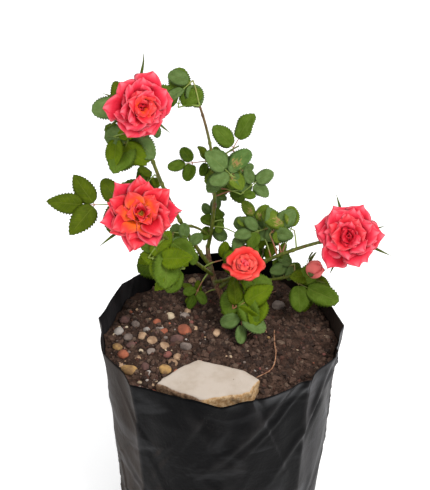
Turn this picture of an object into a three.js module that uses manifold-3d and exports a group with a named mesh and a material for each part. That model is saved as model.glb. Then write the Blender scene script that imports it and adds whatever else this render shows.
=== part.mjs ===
// Rose bush in a film grow bag, in millimetres, +Z up.
// The origin is the centre of the bag's flat underside, and -Y is the side that the open
// blooms face. The bush stands in soil, from one woody stem that forks into green canes.
// Each cane ends in a bloom, a bud or a mass of leaves.
import * as THREE from 'three';
import { mergeVertices } from 'three/addons/utils/BufferGeometryUtils.js';
import Module from 'manifold-3d';

const wasm = await Module();
wasm.setup();

// ---- Driving dimensions ----
const RIM_HEIGHT = 218;          // the bag's rim above the ground
const RIM_RADIUS = 95;
const FILM = 1;                  // wall of the bag as a solid
const FREE_RIM = 18;             // bare film left above the soil
const SOIL_TOP = RIM_HEIGHT - FREE_RIM;
const GAP = 0.35;                // clearance between two pieces that lie on each other
const AROUND = 24;               // facets round the bag

const UP = new THREE.Vector3(0, 1, 0);
const vector = ([x, y, z]) => new THREE.Vector3(x, y, z);

// ---- Geometry helpers ----

// A closed geometry with shared corners: only positions are kept, so its corners can merge.
function merged(geometry) {
  const bare = geometry.clone();
  bare.deleteAttribute('normal');
  bare.deleteAttribute('uv');
  return mergeVertices(bare, 1e-3);
}

// Moves every corner of a geometry through one function of its position.
function moved(geometry, place) {
  const positions = geometry.getAttribute('position');
  const point = new THREE.Vector3();
  for (let i = 0; i < positions.count; i += 1) {
    point.fromBufferAttribute(positions, i);
    place(point, i);
    positions.setXYZ(i, point.x, point.y, point.z);
  }
  return geometry;
}

// The same closed shape with its skin moved outwards by the clearance between pieces.
function grown(geometry) {
  const larger = geometry.clone();
  larger.computeVertexNormals();
  const normals = larger.getAttribute('normal');
  const normal = new THREE.Vector3();
  return merged(moved(larger, (point, i) => {
    point.addScaledVector(normal.fromBufferAttribute(normals, i), GAP * 1.7);
  }));
}

function solidOf(geometry) {
  const closed = merged(geometry);
  const vertProperties = new Float32Array(closed.getAttribute('position').array);
  const triVerts = new Uint32Array(closed.index.array);
  return new wasm.Manifold(new wasm.Mesh({ numProp: 3, vertProperties, triVerts }));
}

function geometryOf(solid) {
  const { vertProperties, triVerts } = solid.getMesh();
  const geometry = new THREE.BufferGeometry();
  geometry.setAttribute('position', new THREE.BufferAttribute(vertProperties, 3));
  geometry.setIndex(new THREE.BufferAttribute(triVerts, 1));
  return geometry;
}

const largest = (solid) => solid.decompose().sort((a, b) => b.volume() - a.volume())[0];

// A piece with room cut in it for its neighbours. Where that parts it, the largest bit
// stays, and so it does again once corners that nearly touch have merged.
function cutRound(geometry, neighbours) {
  const rest = neighbours.reduce(
    (solid, neighbour) => solid.subtract(solidOf(grown(neighbour))),
    solidOf(geometry),
  );
  return geometryOf(largest(solidOf(geometryOf(largest(rest)))));
}

// Smooth ups and downs between -1 and 1, the same at the same place.
function ripple(x, y, seed) {
  const broad = Math.sin(x * 0.071 + seed) * Math.cos(y * 0.083 - seed);
  const fine = Math.sin(x * 0.19 - y * 0.13 + 2 * seed);
  return 0.6 * broad + 0.4 * fine;
}

// ---- The film bag ----

// Outside radius of the filled bag at each height: a rounded foot, nearly straight sides
// and a mouth that spreads a little.
const BAG_OUTLINE = new THREE.SplineCurve([
  new THREE.Vector2(74, 0),
  new THREE.Vector2(83.5, 7),
  new THREE.Vector2(87, 28),
  new THREE.Vector2(88.5, 75),
  new THREE.Vector2(90, 130),
  new THREE.Vector2(91, 180),
  new THREE.Vector2(RIM_RADIUS, RIM_HEIGHT),
]);
const BAG_STEPS = 7;

// The outline moved inwards, from its lowest height up to a top height.
function bagWall(inset, floor, top) {
  const points = BAG_OUTLINE.getPoints(BAG_STEPS).filter(({ y }) => y > floor && y < top);
  const radiusAt = (height) => {
    const fine = BAG_OUTLINE.getPoints(400);
    const above = fine.find(({ y }) => y >= height) ?? fine.at(-1);
    return above.x;
  };
  return [
    new THREE.Vector2(radiusAt(floor) - inset, floor),
    ...points.map(({ x, y }) => new THREE.Vector2(x - inset, y)),
    new THREE.Vector2(radiusAt(top) - inset, top),
  ];
}

// Turns a profile of radius and height round +Z. The mouth is drawn out to the two sides
// where the flat bag had its edges, so what fills the bag follows it.
function turned(profile) {
  const lathe = new THREE.LatheGeometry(profile, AROUND).rotateX(Math.PI / 2);
  return moved(merged(lathe), (point) => {
    const angle = Math.atan2(point.y, point.x);
    const mouth = THREE.MathUtils.smoothstep(point.z, RIM_HEIGHT * 0.6, RIM_HEIGHT);
    const sideways = 1 + 0.008 * mouth * Math.cos(2 * angle);
    point.x *= sideways;
    point.y *= sideways;
  });
}

// The part of the bag that the soil fills, up to the level of the soil.
function growBag() {
  const outside = bagWall(0, 0, SOIL_TOP);
  const inside = bagWall(FILM, FILM, SOIL_TOP).reverse();
  const profile = [new THREE.Vector2(0, 0), ...outside, ...inside, new THREE.Vector2(0, FILM)];
  return turned(profile);
}

// The bare film above the soil, a ring of its own so that its collision stays open inside.
function bagRim() {
  const foot = SOIL_TOP + GAP;
  const outside = bagWall(0, foot, RIM_HEIGHT);
  const inside = bagWall(FILM, foot, RIM_HEIGHT).reverse();
  return turned([...outside, ...inside, outside[0]]);
}

// ---- The soil, bedded round the flat stone ----

const STEM_FOOT = [5, 45, SOIL_TOP + GAP];

function soil(stone) {
  const level = SOIL_TOP - 1.5;
  const clear = FILM + 2.5 * GAP;
  const wall = bagWall(clear, clear, level);
  const edge = wall.at(-1).x;
  const rings = [0.82, 0.6, 0.38, 0.18, 0].map((share) => new THREE.Vector2(edge * share, level));
  const body = turned([new THREE.Vector2(0, clear), ...wall, ...rings]);
  const foot = vector(STEM_FOOT);
  moved(body, (point) => {
    const radius = Math.hypot(point.x, point.y);
    if (point.z < level - 1 || radius > edge * 0.9) return;
    const away = Math.hypot(point.x - foot.x, point.y - foot.y);
    const loose = THREE.MathUtils.smoothstep(away, 12, 40);
    point.z = SOIL_TOP - 0.4 + 0.4 * (1 - loose) + loose * 1.6 * ripple(point.x, point.y, 1.7);
  });
  return cutRound(body, [stone]);
}

// ---- The flat stone on the soil ----

const STONE = {
  thickness: 11,
  bed: SOIL_TOP - 1,
  middle: [-9, -62],
  half: [38, 22],                // half its length and half its width
  corners: [[-1, -0.2], [-0.6, 0.6], [-0.2, 1], [0.7, 0.5], [1, 0], [0.8, -0.6], [-0.1, -1]],
};

function flatStone() {
  const bevel = 1.6;
  const { middle, half, corners } = STONE;
  const outline = new THREE.Shape(corners.map(([along, across]) => (
    new THREE.Vector2(middle[0] + half[0] * along, middle[1] + half[1] * across)
  )));
  const slab = new THREE.ExtrudeGeometry(outline, {
    depth: STONE.thickness - 2 * bevel,
    bevelThickness: bevel,
    bevelSize: bevel,
    bevelOffset: -bevel,
    bevelSegments: 1,
  });
  return merged(slab.translate(0, 0, STONE.bed + bevel));
}

// ---- Stems and canes ----

const LIMB_STEP = 15;            // about how long each straight bit of a limb is

// A tapering limb: a straight tapered cylinder, bent so that its axis follows the curve.
// Its foot widens by the flare over the first part of its length, and is then cut level.
function limb(name) {
  const { foot, tip, flare = 0, sides = 6 } = CANES[name];
  const curve = axis(name);
  const steps = Math.max(4, Math.round(curve.getLength() / LIMB_STEP));
  const { normals, binormals } = curve.computeFrenetFrames(steps, false);
  if (flare > 0) {
    normals[0].setZ(0).normalize();
    binormals[0].crossVectors(new THREE.Vector3(0, 0, 1), normals[0]);
  }
  const straight = new THREE.CylinderGeometry(1, 1, 1, sides, steps).translate(0, 0.5, 0);
  return moved(merged(straight), (point) => {
    const along = Math.round(point.y * steps);
    const share = along / steps;
    const radius = THREE.MathUtils.lerp(foot, tip, share) + flare * Math.exp(-9 * share);
    const { x, z } = point;
    point.copy(curve.getPointAt(share))
      .addScaledVector(normals[along], x * radius)
      .addScaledVector(binormals[along], -z * radius);
  });
}

// ---- Blooms ----

// Each bloom is set by the centre of its widest ring and the way it faces.
const BLOOMS = {
  bloom_upper_left: { centre: [-55, 20, 390], faces: [0, -0.75, 0.66], radius: 22.5, lobes: 7 },
  bloom_lower_left: { centre: [-55, -15, 325], faces: [-0.1, -0.8, 0.6], radius: 25, lobes: 9 },
  bloom_right: { centre: [95, 10, 290], faces: [0.1, -0.8, 0.6], radius: 25, lobes: 8 },
  bloom_front: { centre: [20, 15, 260], faces: [0.05, -0.55, 0.83], radius: 15, lobes: 5 },
  flower_bud: { centre: [75, 30, 245], faces: [0.55, -0.6, 0.55], radius: 7.2, lobes: 5 },
};
const BLOOM_DEPTH = 0.62;        // from the widest ring back to the cane, in bloom radii
const BUD_DEPTH = 1.15;

const depthOf = (name) => (name === 'flower_bud' ? BUD_DEPTH : BLOOM_DEPTH);

// Where a cane meets the back of its bloom.
function behind(name) {
  const { centre, faces, radius } = BLOOMS[name];
  const back = vector(faces).normalize().multiplyScalar(-depthOf(name) * radius - GAP);
  return vector(centre).add(back).toArray();
}

// A bloom turned from its cup, ring of petal tips and domed heart, with a lobed edge.
function bloom(name) {
  const { centre, faces, radius, lobes } = BLOOMS[name];
  const back = -depthOf(name);
  const front = name === 'flower_bud' ? 0.95 : 0.42;
  const profile = [
    [0, back],
    [0.13, back],
    [0.2, back * 0.72],
    [0.72, back * 0.28],
    [1, 0],
    [0.8, front * 0.62],
    [0.45, front],
    [0, front * 0.9],
  ].map(([r, h]) => new THREE.Vector2(r * radius, h * radius));
  const lathe = merged(new THREE.LatheGeometry(profile, 2 * lobes));
  moved(lathe, (point) => {
    const share = Math.hypot(point.x, point.z) / radius;
    const angle = Math.atan2(point.z, point.x);
    const lobe = 1 + 0.09 * share * share * Math.cos(lobes * angle);
    point.x *= lobe;
    point.z *= lobe;
  });
  const turn = new THREE.Quaternion().setFromUnitVectors(UP, vector(faces).normalize());
  return lathe.applyQuaternion(turn).translate(...centre);
}

// Each cane leaves an older one at a share of that one's length. It runs to the back of its
// bloom, or as far as its reach. The bow is how far the middle of its run stands aside.
const CANES = {
  main_stem: { reach: [-15, 20, 45], bow: [-4, 2, 0], foot: 2.7, tip: 1.9, flare: 2.2, sides: 9 },
  cane_centre: {
    parent: 'main_stem', share: 0.98, reach: [-5, -20, 135],
    bow: [8, 3, 0], foot: 1.8, tip: 0.9,
  },
  cane_left: {
    parent: 'main_stem', share: 0.6, bloom: 'bloom_upper_left',
    bow: [-8, 4, -4], foot: 1.8, tip: 1.2,
  },
  cane_lower_left: {
    parent: 'main_stem', share: 0.45, bloom: 'bloom_lower_left',
    bow: [0, 0, -2], foot: 1.6, tip: 1.2,
  },
  side_shoot: { parent: 'cane_left', share: 0.3, reach: [20, 10, -15], bow: [0, 0, 3], foot: 1.2, tip: 0.9 },
  cane_right: {
    parent: 'main_stem', share: 0.25, bloom: 'bloom_right',
    bow: [-3, 3, 5], foot: 1.9, tip: 1.2,
  },
  stem_front: {
    parent: 'main_stem', share: 0.35, bloom: 'bloom_front',
    bow: [-1, 0, -3], foot: 1.5, tip: 1.2,
  },
  stem_bud: {
    parent: 'cane_right', share: 0.15, bloom: 'flower_bud',
    bow: [0, 0, -5], foot: 1.4, tip: 1.2,
  },
  twig_right: {
    parent: 'cane_centre', share: 0.62, reach: [20, 10, 10],
    bow: [0, 0, 1], foot: 0.8, tip: 0.6,
  },
};

// The curve that a cane's axis follows.
function axis(name) {
  const { parent, share, reach, bloom: carried, bow } = CANES[name];
  const start = parent ? axis(parent).getPointAt(share) : vector(STEM_FOOT);
  const end = carried ? vector(behind(carried)) : vector(reach).add(start);
  const control = start.clone().lerp(end, 0.5).addScaledVector(vector(bow), 2);
  return new THREE.QuadraticBezierCurve3(start, control, end);
}

// ---- Masses of leaves ----

// Each mass hangs on one cane, at a share of its length. Its core lies at a reach from there, at
// a bearing in degrees from the right in the plane that faces the light, and stands ahead of
// that plane or behind it. Its leaves fan out to the half width and half height of the mass.
const LEAF_SIDE = [0, -0.6, 0.8];     // the side that most leaves turn to the light
const LEAF_RISE = [0, 0.8, 0.6];      // up the plane that faces it
const MASSES = {
  foliage_top_left: {
    cane: 'cane_left', share: 0.9, bearing: 135, reach: 34,
    ahead: 2, wide: 17, high: 22, leaves: 4,
  },
  foliage_top_right: {
    cane: 'cane_centre', share: 0.97, bearing: 140, reach: 18,
    ahead: 5, wide: 20, high: 22, leaves: 5,
  },
  foliage_left_wing: {
    cane: 'cane_lower_left', share: 0.8, bearing: 160, reach: 46,
    ahead: 16, wide: 42, high: 24, leaves: 5,
  },
  foliage_left_middle: {
    cane: 'cane_left', share: 0.75, bearing: 165, reach: 18,
    ahead: 10, wide: 25, high: 24, leaves: 7,
  },
  foliage_left_low: {
    cane: 'cane_lower_left', share: 0.6, bearing: 250, reach: 18,
    ahead: 6, wide: 25, high: 18, leaves: 6,
  },
  foliage_left_hanging: {
    cane: 'cane_lower_left', share: 0.4, bearing: 215, reach: 28,
    ahead: 8, wide: 17, high: 20, leaves: 4,
  },
  foliage_left_inner: {
    cane: 'cane_left', share: 0.2, bearing: 250, reach: 15,
    ahead: 20, wide: 13, high: 18, leaves: 5,
  },
  foliage_centre_left: {
    cane: 'cane_centre', share: 0.62, bearing: 190, reach: 18,
    ahead: 0, wide: 20, high: 22, leaves: 6,
  },
  foliage_centre: {
    cane: 'cane_centre', share: 0.5, bearing: 20, reach: 10,
    ahead: 10, wide: 24, high: 22, leaves: 6,
  },
  foliage_centre_right: {
    cane: 'cane_centre', share: 0.45, bearing: 0, reach: 32,
    ahead: 5, wide: 16, high: 15, leaves: 5,
  },
  foliage_right_sprig: {
    cane: 'twig_right', share: 0.95, bearing: 60, reach: 16,
    ahead: 0, wide: 15, high: 19, leaves: 3,
  },
  foliage_right: {
    cane: 'cane_right', share: 0.45, bearing: 110, reach: 28,
    ahead: 12, wide: 23, high: 24, leaves: 6,
  },
  foliage_right_outer: {
    cane: 'cane_right', share: 0.6, bearing: 95, reach: 22,
    ahead: 8, wide: 18, high: 18, leaves: 4,
  },
  foliage_centre_low: {
    cane: 'cane_centre', share: 0.08, bearing: 80, reach: 10,
    ahead: 8, wide: 14, high: 22, leaves: 5,
  },
  foliage_centre_front: {
    cane: 'stem_front', share: 0.5, bearing: 70, reach: 20,
    ahead: 10, wide: 14, high: 16, leaves: 4,
  },
  foliage_right_low: {
    cane: 'stem_bud', share: 0.6, bearing: 60, reach: 10,
    ahead: 3, wide: 14, high: 17, leaves: 5,
  },
  foliage_front: {
    cane: 'stem_front', share: 0.7, bearing: 290, reach: 24,
    ahead: 0, wide: 28, high: 20, leaves: 7,
  },
  foliage_front_low: {
    cane: 'stem_front', share: 0.6, bearing: 280, reach: 46,
    ahead: 3, wide: 12, high: 17, leaves: 4,
  },
  foliage_bud: {
    cane: 'stem_bud', share: 0.85, bearing: 300, reach: 18,
    ahead: 0, wide: 24, high: 18, leaves: 6,
  },
  foliage_low_left: {
    cane: 'main_stem', share: 0.3, bearing: 205, reach: 22,
    ahead: 4, wide: 16, high: 17, leaves: 5,
  },
  foliage_back_top: {
    cane: 'cane_left', share: 0.85, bearing: 130, reach: 18,
    ahead: -10, wide: 14, high: 16, leaves: 4,
  },
  foliage_back_left: {
    cane: 'cane_left', share: 0.5, bearing: 150, reach: 26,
    ahead: -10, wide: 20, high: 20, leaves: 4,
  },
  foliage_back_centre: {
    cane: 'cane_centre', share: 0.35, bearing: 60, reach: 24,
    ahead: -5, wide: 18, high: 18, leaves: 4,
  },
  foliage_back_right: {
    cane: 'cane_right', share: 0.4, bearing: 80, reach: 24,
    ahead: -8, wide: 16, high: 18, leaves: 4,
  },
  foliage_back_low_left: {
    cane: 'cane_left', share: 0.12, bearing: 160, reach: 30,
    ahead: -10, wide: 18, high: 18, leaves: 4,
  },
};
const PAD = 0.55;                // the even pad in the middle of a mass, as a share of its width
const PAD_DEPTH = 5;             // half its thickness
const UNEVEN = 0.18;             // how much the leaves differ in length
const CLEAR_OF_SOIL = 5;         // the lowest that a leaf tip hangs over the soil

// The place on a mass's cane that carries it.
const carrier = ({ cane, share }) => axis(cane).getPointAt(share);

// A step across the plane that faces the light.
function inPlane(bearing, across, up) {
  const turn = THREE.MathUtils.degToRad(bearing);
  return vector(LEAF_RISE).normalize().multiplyScalar(up * Math.sin(turn))
    .add(new THREE.Vector3(across * Math.cos(turn), 0, 0));
}

function aboveSoil(point) {
  point.z = Math.max(point.z, SOIL_TOP + CLEAR_OF_SOIL);
  return point;
}

function coreOf(spec) {
  return aboveSoil(carrier(spec)
    .add(inPlane(spec.bearing, spec.reach, spec.reach))
    .addScaledVector(vector(LEAF_SIDE).normalize(), spec.ahead));
}

// The tips of a mass's leaves, round its core, and the one that holds it to its cane. The first
// leaf points straight away from the cane and is the longest.
function tipsOf(spec, seed) {
  const core = coreOf(spec);
  const held = carrier(spec);
  const through = held.clone().addScaledVector(held.clone().sub(core).normalize(), 2);
  const tips = [through];
  for (let leaf = 0; leaf < spec.leaves; leaf += 1) {
    const bearing = spec.bearing + (360 * leaf) / spec.leaves + 14 * Math.sin(3.1 * leaf + seed);
    const length = 1 - UNEVEN * Math.sin(2.4 * leaf + 2 * seed * Math.sign(leaf)) ** 2;
    tips.push(aboveSoil(core.clone().add(inPlane(bearing, spec.wide * length, spec.high * length))));
  }
  return tips;
}

const RIDGE_WIDTH = 0.5;         // in radians, how far a ridge falls away to each side

// Distance from a mass's core to its skin in one direction: a flat pad with rounded ridges
// towards its tips.
function skin(direction, { wide }, ridges, face, seed) {
  const edgeOn = direction.dot(face);
  const pad = 1 / Math.hypot(edgeOn / PAD_DEPTH, Math.sqrt(1 - edgeOn * edgeOn) / (PAD * wide));
  const bulges = ridges.map(({ aim, length }) => {
    const apart = direction.angleTo(aim) / RIDGE_WIDTH;
    return Math.max(0, length - pad) * Math.exp(-apart * apart);
  });
  const uneven = 1 + 0.09 * Math.sin(7 * direction.x + seed) * Math.sin(6 * direction.z - seed);
  return pad * uneven + Math.max(0, ...bulges);
}

function leafMass(spec, seed) {
  const core = coreOf(spec);
  const face = vector(LEAF_SIDE).normalize();
  const ridges = tipsOf(spec, seed).map((tip) => {
    const span = tip.sub(core);
    return { aim: span.clone().normalize(), length: span.length() };
  });
  const ball = merged(new THREE.IcosahedronGeometry(1, 2));
  const directions = [];
  moved(ball, (point) => {
    const direction = point.clone().normalize();
    directions.push(direction);
    const radius = skin(direction, spec, ridges, face, seed);
    point.copy(core).addScaledVector(direction, radius);
  });
  const positions = ball.getAttribute('position');
  for (const { aim, length } of ridges) {
    const turns = directions.map((direction) => direction.angleTo(aim));
    const nearest = turns.indexOf(Math.min(...turns));
    const tip = core.clone().addScaledVector(aim, length);
    positions.setXYZ(nearest, tip.x, tip.y, tip.z);
  }
  return ball;
}

// ---- Colours and assembly ----

const COLOURS = {
  bag: [0x17191c, 0.42],
  soil: [0x3b2b23, 0.95],
  stone: [0xd8ccbb, 0.8],
  bark: [0x6f5138, 0.85],
  cane: [0x5f7a33, 0.6],
  leaf: [0x4d7a33, 0.55],
  coral: [0xe8505a, 0.6],
  salmon: [0xf0604f, 0.6],
};

const bush = new THREE.Group();

function add(name, geometry, colour) {
  const [color, roughness] = COLOURS[colour];
  const material = new THREE.MeshStandardMaterial({ color, roughness, metalness: 0 });
  const mesh = new THREE.Mesh(geometry, material);
  mesh.name = name;
  bush.add(mesh);
}

const stone = flatStone();
add('grow_bag', growBag(), 'bag');
add('bag_rim', bagRim(), 'bag');
add('flat_stone', stone, 'stone');
add('soil', soil(stone), 'soil');

const blooms = Object.keys(BLOOMS).map((name) => {
  const geometry = bloom(name);
  add(name, geometry, name === 'bloom_front' ? 'salmon' : 'coral');
  return geometry;
});

// Each cane is cut back where it leaves an older one, so that it starts on its bark.
const canes = [];
for (const name of Object.keys(CANES)) {
  const geometry = cutRound(limb(name), [...canes, ...blooms]);
  add(name, geometry, name === 'main_stem' ? 'bark' : 'cane');
  canes.push(limb(name));
}

// Each mass leaves room for the canes, the blooms and the masses made before it.
const masses = [];
for (const [index, [name, shape]] of Object.entries(MASSES).entries()) {
  const whole = leafMass(shape, index + 1);
  const geometry = cutRound(whole, [...canes, ...blooms, ...masses]);
  add(name, geometry, 'leaf');
  masses.push(whole);
}

export default bush;
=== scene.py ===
import math
import random

import bmesh
import bpy
import numpy as np
from mathutils import Matrix, Vector, noise


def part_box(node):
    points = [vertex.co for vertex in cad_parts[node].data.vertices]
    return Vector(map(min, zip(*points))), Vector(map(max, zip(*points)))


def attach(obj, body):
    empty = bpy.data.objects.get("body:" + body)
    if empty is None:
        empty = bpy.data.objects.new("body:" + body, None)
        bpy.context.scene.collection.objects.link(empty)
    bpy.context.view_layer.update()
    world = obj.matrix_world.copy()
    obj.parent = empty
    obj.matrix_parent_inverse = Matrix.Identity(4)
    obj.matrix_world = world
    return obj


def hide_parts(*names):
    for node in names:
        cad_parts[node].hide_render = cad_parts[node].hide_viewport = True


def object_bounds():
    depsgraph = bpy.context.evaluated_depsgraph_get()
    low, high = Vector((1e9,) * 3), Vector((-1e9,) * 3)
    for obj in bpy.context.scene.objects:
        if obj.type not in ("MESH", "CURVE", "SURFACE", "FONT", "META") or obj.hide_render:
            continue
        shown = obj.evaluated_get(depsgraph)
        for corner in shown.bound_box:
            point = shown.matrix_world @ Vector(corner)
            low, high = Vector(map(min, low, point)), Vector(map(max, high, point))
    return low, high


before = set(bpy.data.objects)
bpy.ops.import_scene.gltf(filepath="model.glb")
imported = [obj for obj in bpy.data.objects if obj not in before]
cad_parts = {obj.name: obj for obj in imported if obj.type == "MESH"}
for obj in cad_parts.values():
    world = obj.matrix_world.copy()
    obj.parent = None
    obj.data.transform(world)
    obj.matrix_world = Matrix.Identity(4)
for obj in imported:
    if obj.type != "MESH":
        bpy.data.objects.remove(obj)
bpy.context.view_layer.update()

MM = 0.001

# ---- Camera ----
# It stands in front of the bush, a little left of its middle and above the rim of the bag,
# and looks down at the blooms.
rim_low, rim_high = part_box("bag_rim")
CAMERA_AHEAD = 467 * MM
CAMERA_ABOVE_RIM = 378 * MM
CAMERA_LEFT = 4 * MM
LOOKS_DOWN = math.radians(33.4)

camera = bpy.data.objects.new("camera", bpy.data.cameras.new("camera"))
camera.data.lens = 56
camera.location = (-CAMERA_LEFT, -CAMERA_AHEAD, rim_high.z + CAMERA_ABOVE_RIM)
camera.rotation_euler = (math.pi / 2 - LOOKS_DOWN, 0, 0)
bpy.context.scene.collection.objects.link(camera)
bpy.context.scene.camera = camera

# ---- Studio ----
# A white sweep under an even white sky, with a large soft lamp up on the right and a weaker
# one on the left. The sweep is pale paper, so that the bag's shadow shows only near it.
FLOOR_SIZE = 40.0
WHOLE_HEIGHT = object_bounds()[1].z


def srgb(red, green, blue):
    """A screen colour, 0 to 255 in each part, as a linear colour with full cover."""
    parts = [part / 255 for part in (red, green, blue)]
    return tuple(((part + 0.055) / 1.055) ** 2.4 for part in parts) + (1.0,)


class Term:
    """A node's output, with arithmetic that adds Math nodes to the same finish."""

    def __init__(self, finish, socket):
        self.finish = finish
        self.socket = socket

    def math(self, operation, first, second=0.5):
        return self.finish.node("ShaderNodeMath", {"operation": operation}, {0: first, 1: second})

    def __add__(self, other):
        return self.math("ADD", self, other)

    def __radd__(self, other):
        return self.math("ADD", other, self)

    def __sub__(self, other):
        return self.math("SUBTRACT", self, other)

    def __rsub__(self, other):
        return self.math("SUBTRACT", other, self)

    def __mul__(self, other):
        return self.math("MULTIPLY", self, other)

    def __rmul__(self, other):
        return self.math("MULTIPLY", other, self)

    def __mod__(self, other):
        return self.math("MODULO", self, other)

    def __abs__(self):
        return self.math("ABSOLUTE", self)

    def between(self, low, high):
        """0 where the term is at low, 1 where it is at high, smooth and clamped between."""
        return self.finish.node(
            "ShaderNodeMapRange",
            {"interpolation_type": "SMOOTHSTEP"},
            {"Value": self, "From Min": low, "From Max": high},
        )


class Finish:
    """A material with one Principled shader, and the nodes that feed it."""

    def __init__(self, name, **uniform):
        self.material = bpy.data.materials.new(name)
        self.material.use_nodes = True
        self.tree = self.material.node_tree
        self.shader = self.tree.nodes["Principled BSDF"]
        for socket, value in uniform.items():
            self.shader.inputs[socket.replace("_", " ")].default_value = value

    def node(self, kind, settings=None, inputs=None, output=0):
        made = self.tree.nodes.new(kind)
        for key, value in (settings or {}).items():
            setattr(made, key, value)
        for key, value in (inputs or {}).items():
            self.feed(made.inputs[key], value)
        return Term(self, made.outputs[output])

    def feed(self, socket, value):
        if isinstance(value, Term):
            self.tree.links.new(value.socket, socket)
        else:
            socket.default_value = value

    def place(self):
        """The point on the surface, in the object's own metres."""
        return self.node("ShaderNodeTexCoord", output="Object")

    def split(self, vector, axis):
        return self.node("ShaderNodeSeparateXYZ", inputs={0: vector}, output=axis)

    def stretched(self, vector, scale):
        return self.node("ShaderNodeMapping", inputs={"Vector": vector, "Scale": scale})

    def cloud(self, vector, scale, detail=4, roughness=0.55, distortion=0.0):
        """Uneven grey between 0 and 1, with about scale patches to a metre."""
        inputs = {
            "Vector": vector,
            "Scale": scale,
            "Detail": detail,
            "Roughness": roughness,
            "Distortion": distortion,
        }
        return self.node("ShaderNodeTexNoise", inputs=inputs)

    def mixed(self, share, first, second, blend="MIX"):
        """Two colours mixed by a share."""
        settings = {"data_type": "RGBA", "blend_type": blend}
        return self.node("ShaderNodeMix", settings, {0: share, 6: first, 7: second}, output=2)

    def relief(self, height, depth, normal=None):
        """A surface raised by a height from 0 to 1, times a depth in metres."""
        inputs = {"Height": height, "Distance": depth}
        if normal:
            inputs["Normal"] = normal
        return self.node("ShaderNodeBump", inputs=inputs)

    def wear(self, **looks):
        """Feeds the shader's sockets, and returns the finish."""
        for socket, value in looks.items():
            self.feed(self.shader.inputs[socket.replace("_", " ")], value)
        return self


def lamp(name, size, power, place, colour):
    """A square soft lamp that points at the middle of the bush."""
    light = bpy.data.objects.new(name, bpy.data.lights.new(name, "AREA"))
    light.data.size = size
    light.data.energy = power
    light.data.color = colour
    light.location = place
    aim = Vector((0, 0, WHOLE_HEIGHT * 0.6)) - light.location
    light.rotation_euler = aim.to_track_quat("-Z", "Y").to_euler()
    bpy.context.scene.collection.objects.link(light)


lamp("key_lamp", 0.7, 22, Vector((0.75, -0.6, 1.6)), (1.0, 0.985, 0.96))
lamp("fill_lamp", 1.2, 6, Vector((-1.1, -0.9, 0.9)), (0.96, 0.98, 1.0))

sky = bpy.data.worlds.new("white_sky")
sky.use_nodes = True
sky.node_tree.nodes["Background"].inputs["Color"].default_value = (1.0, 1.0, 1.0, 1.0)
sky.node_tree.nodes["Background"].inputs["Strength"].default_value = 0.75
bpy.context.scene.world = sky
bpy.context.scene.view_settings.view_transform = "Standard"

paper = Finish("pale_paper", Roughness=0.9, Emission_Color=(1.0, 1.0, 1.0, 1.0), Emission_Strength=0.34)
paper_grain = paper.cloud(paper.place(), 3.0)
paper.wear(Base_Color=paper.mixed(paper_grain, srgb(246, 246, 247), srgb(250, 250, 250)))

sweep = bmesh.new()
bmesh.ops.create_grid(sweep, x_segments=8, y_segments=8, size=FLOOR_SIZE / 2)
floor = bpy.data.objects.new("floor", bpy.data.meshes.new("floor"))
sweep.to_mesh(floor.data)
sweep.free()
floor.data.materials.append(paper.material)
bpy.context.scene.collection.objects.link(floor)

# ---- Grow bag ----
# One tube of thin black film, sealed flat at its foot and blown open by the soil. Its old
# folds stand up the wall as creases, and between them the film is pulled into wrinkles.
RIM = (rim_high.x - rim_low.x) / 2
BAG_TOP = rim_high.z
FILM = 0.4 * MM
FILM_COLUMNS = 336
FILM_OUTLINE = [(0.0, 0), (0.4, 0), (0.74, 0), (0.86, 0.022), (0.905, 0.1), (0.928, 0.3),
                (0.944, 0.55), (0.955, 0.83), (0.985, 1)]   # shares of the rim and the height
FOLDS = [-4, 56, 121, 179, 228, 313]                      # creases round the bag, in degrees
RIM_CORNERS = sorted(FOLDS + [(fold + following) / 2 for fold, following
                              in zip(FOLDS, FOLDS[1:] + [FOLDS[0] + 360])])
FLARE = 294            # where the rim is turned out a little, in degrees
RIM_SAG = 0.75         # how far the rim is drawn straight from corner to corner, 1 for a chord
BLACK_FILM = srgb(1, 1, 3)
# lighter film on the ridges: scuffing, and a painted highlight
SCUFFED_HIGHLIT_FILM = srgb(50, 48, 48)
DUSTY_FILM = srgb(78, 72, 68)
# brownish clay dust with a painted reflection, on the side that faces left
CLAY_DUST_AND_REFLECTION = srgb(70, 58, 50)
# painted reflection: a paler grey on the side that faces right
PAINTED_REFLECTION_GREY = srgb(70, 68, 70)
FOLD_WIDTH = 0.045     # a fold's ridge, in radians round the bag
FOLD_GROOVE = 0.13     # from the ridge to the groove beside it
FLAT_FOOT = 12 * MM    # the film is smooth at the underside, and free above this


def smooth_route(corners, spacing):
    """Points about a spacing apart on a smooth curve through the corners."""
    corners = [Vector(corner) for corner in corners]
    padded = [2 * corners[0] - corners[1], *corners, 2 * corners[-1] - corners[-2]]
    route = []
    for before, start, end, after in zip(padded, padded[1:], padded[2:], padded[3:]):
        steps = max(1, round((end - start).length / spacing))
        for step in range(steps):
            t = step / steps
            pull = (2 * start + (end - before) * t
                    + (2 * before - 5 * start + 4 * end - after) * t * t
                    + (3 * start - before - 3 * end + after) * t * t * t)
            route.append(pull / 2)
    return route + [corners[-1]]


film_dice = random.Random(11)
WRINKLES = [
    {
        "angle": film_dice.uniform(0, 2 * math.pi),
        "height": film_dice.uniform(0.0, 1.0) * BAG_TOP,
        "slant": film_dice.choice((-1, 1, 1)) * film_dice.uniform(0.15, 1.15),
        "length": film_dice.uniform(18, 75) * MM,
        "width": film_dice.choice((1.8, 4.0, 8.0, 13.0)) * film_dice.uniform(0.8, 1.2) * MM,
        "depth": film_dice.uniform(0.4, 1.4) * MM,
    }
    for _ in range(120)
]


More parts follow.
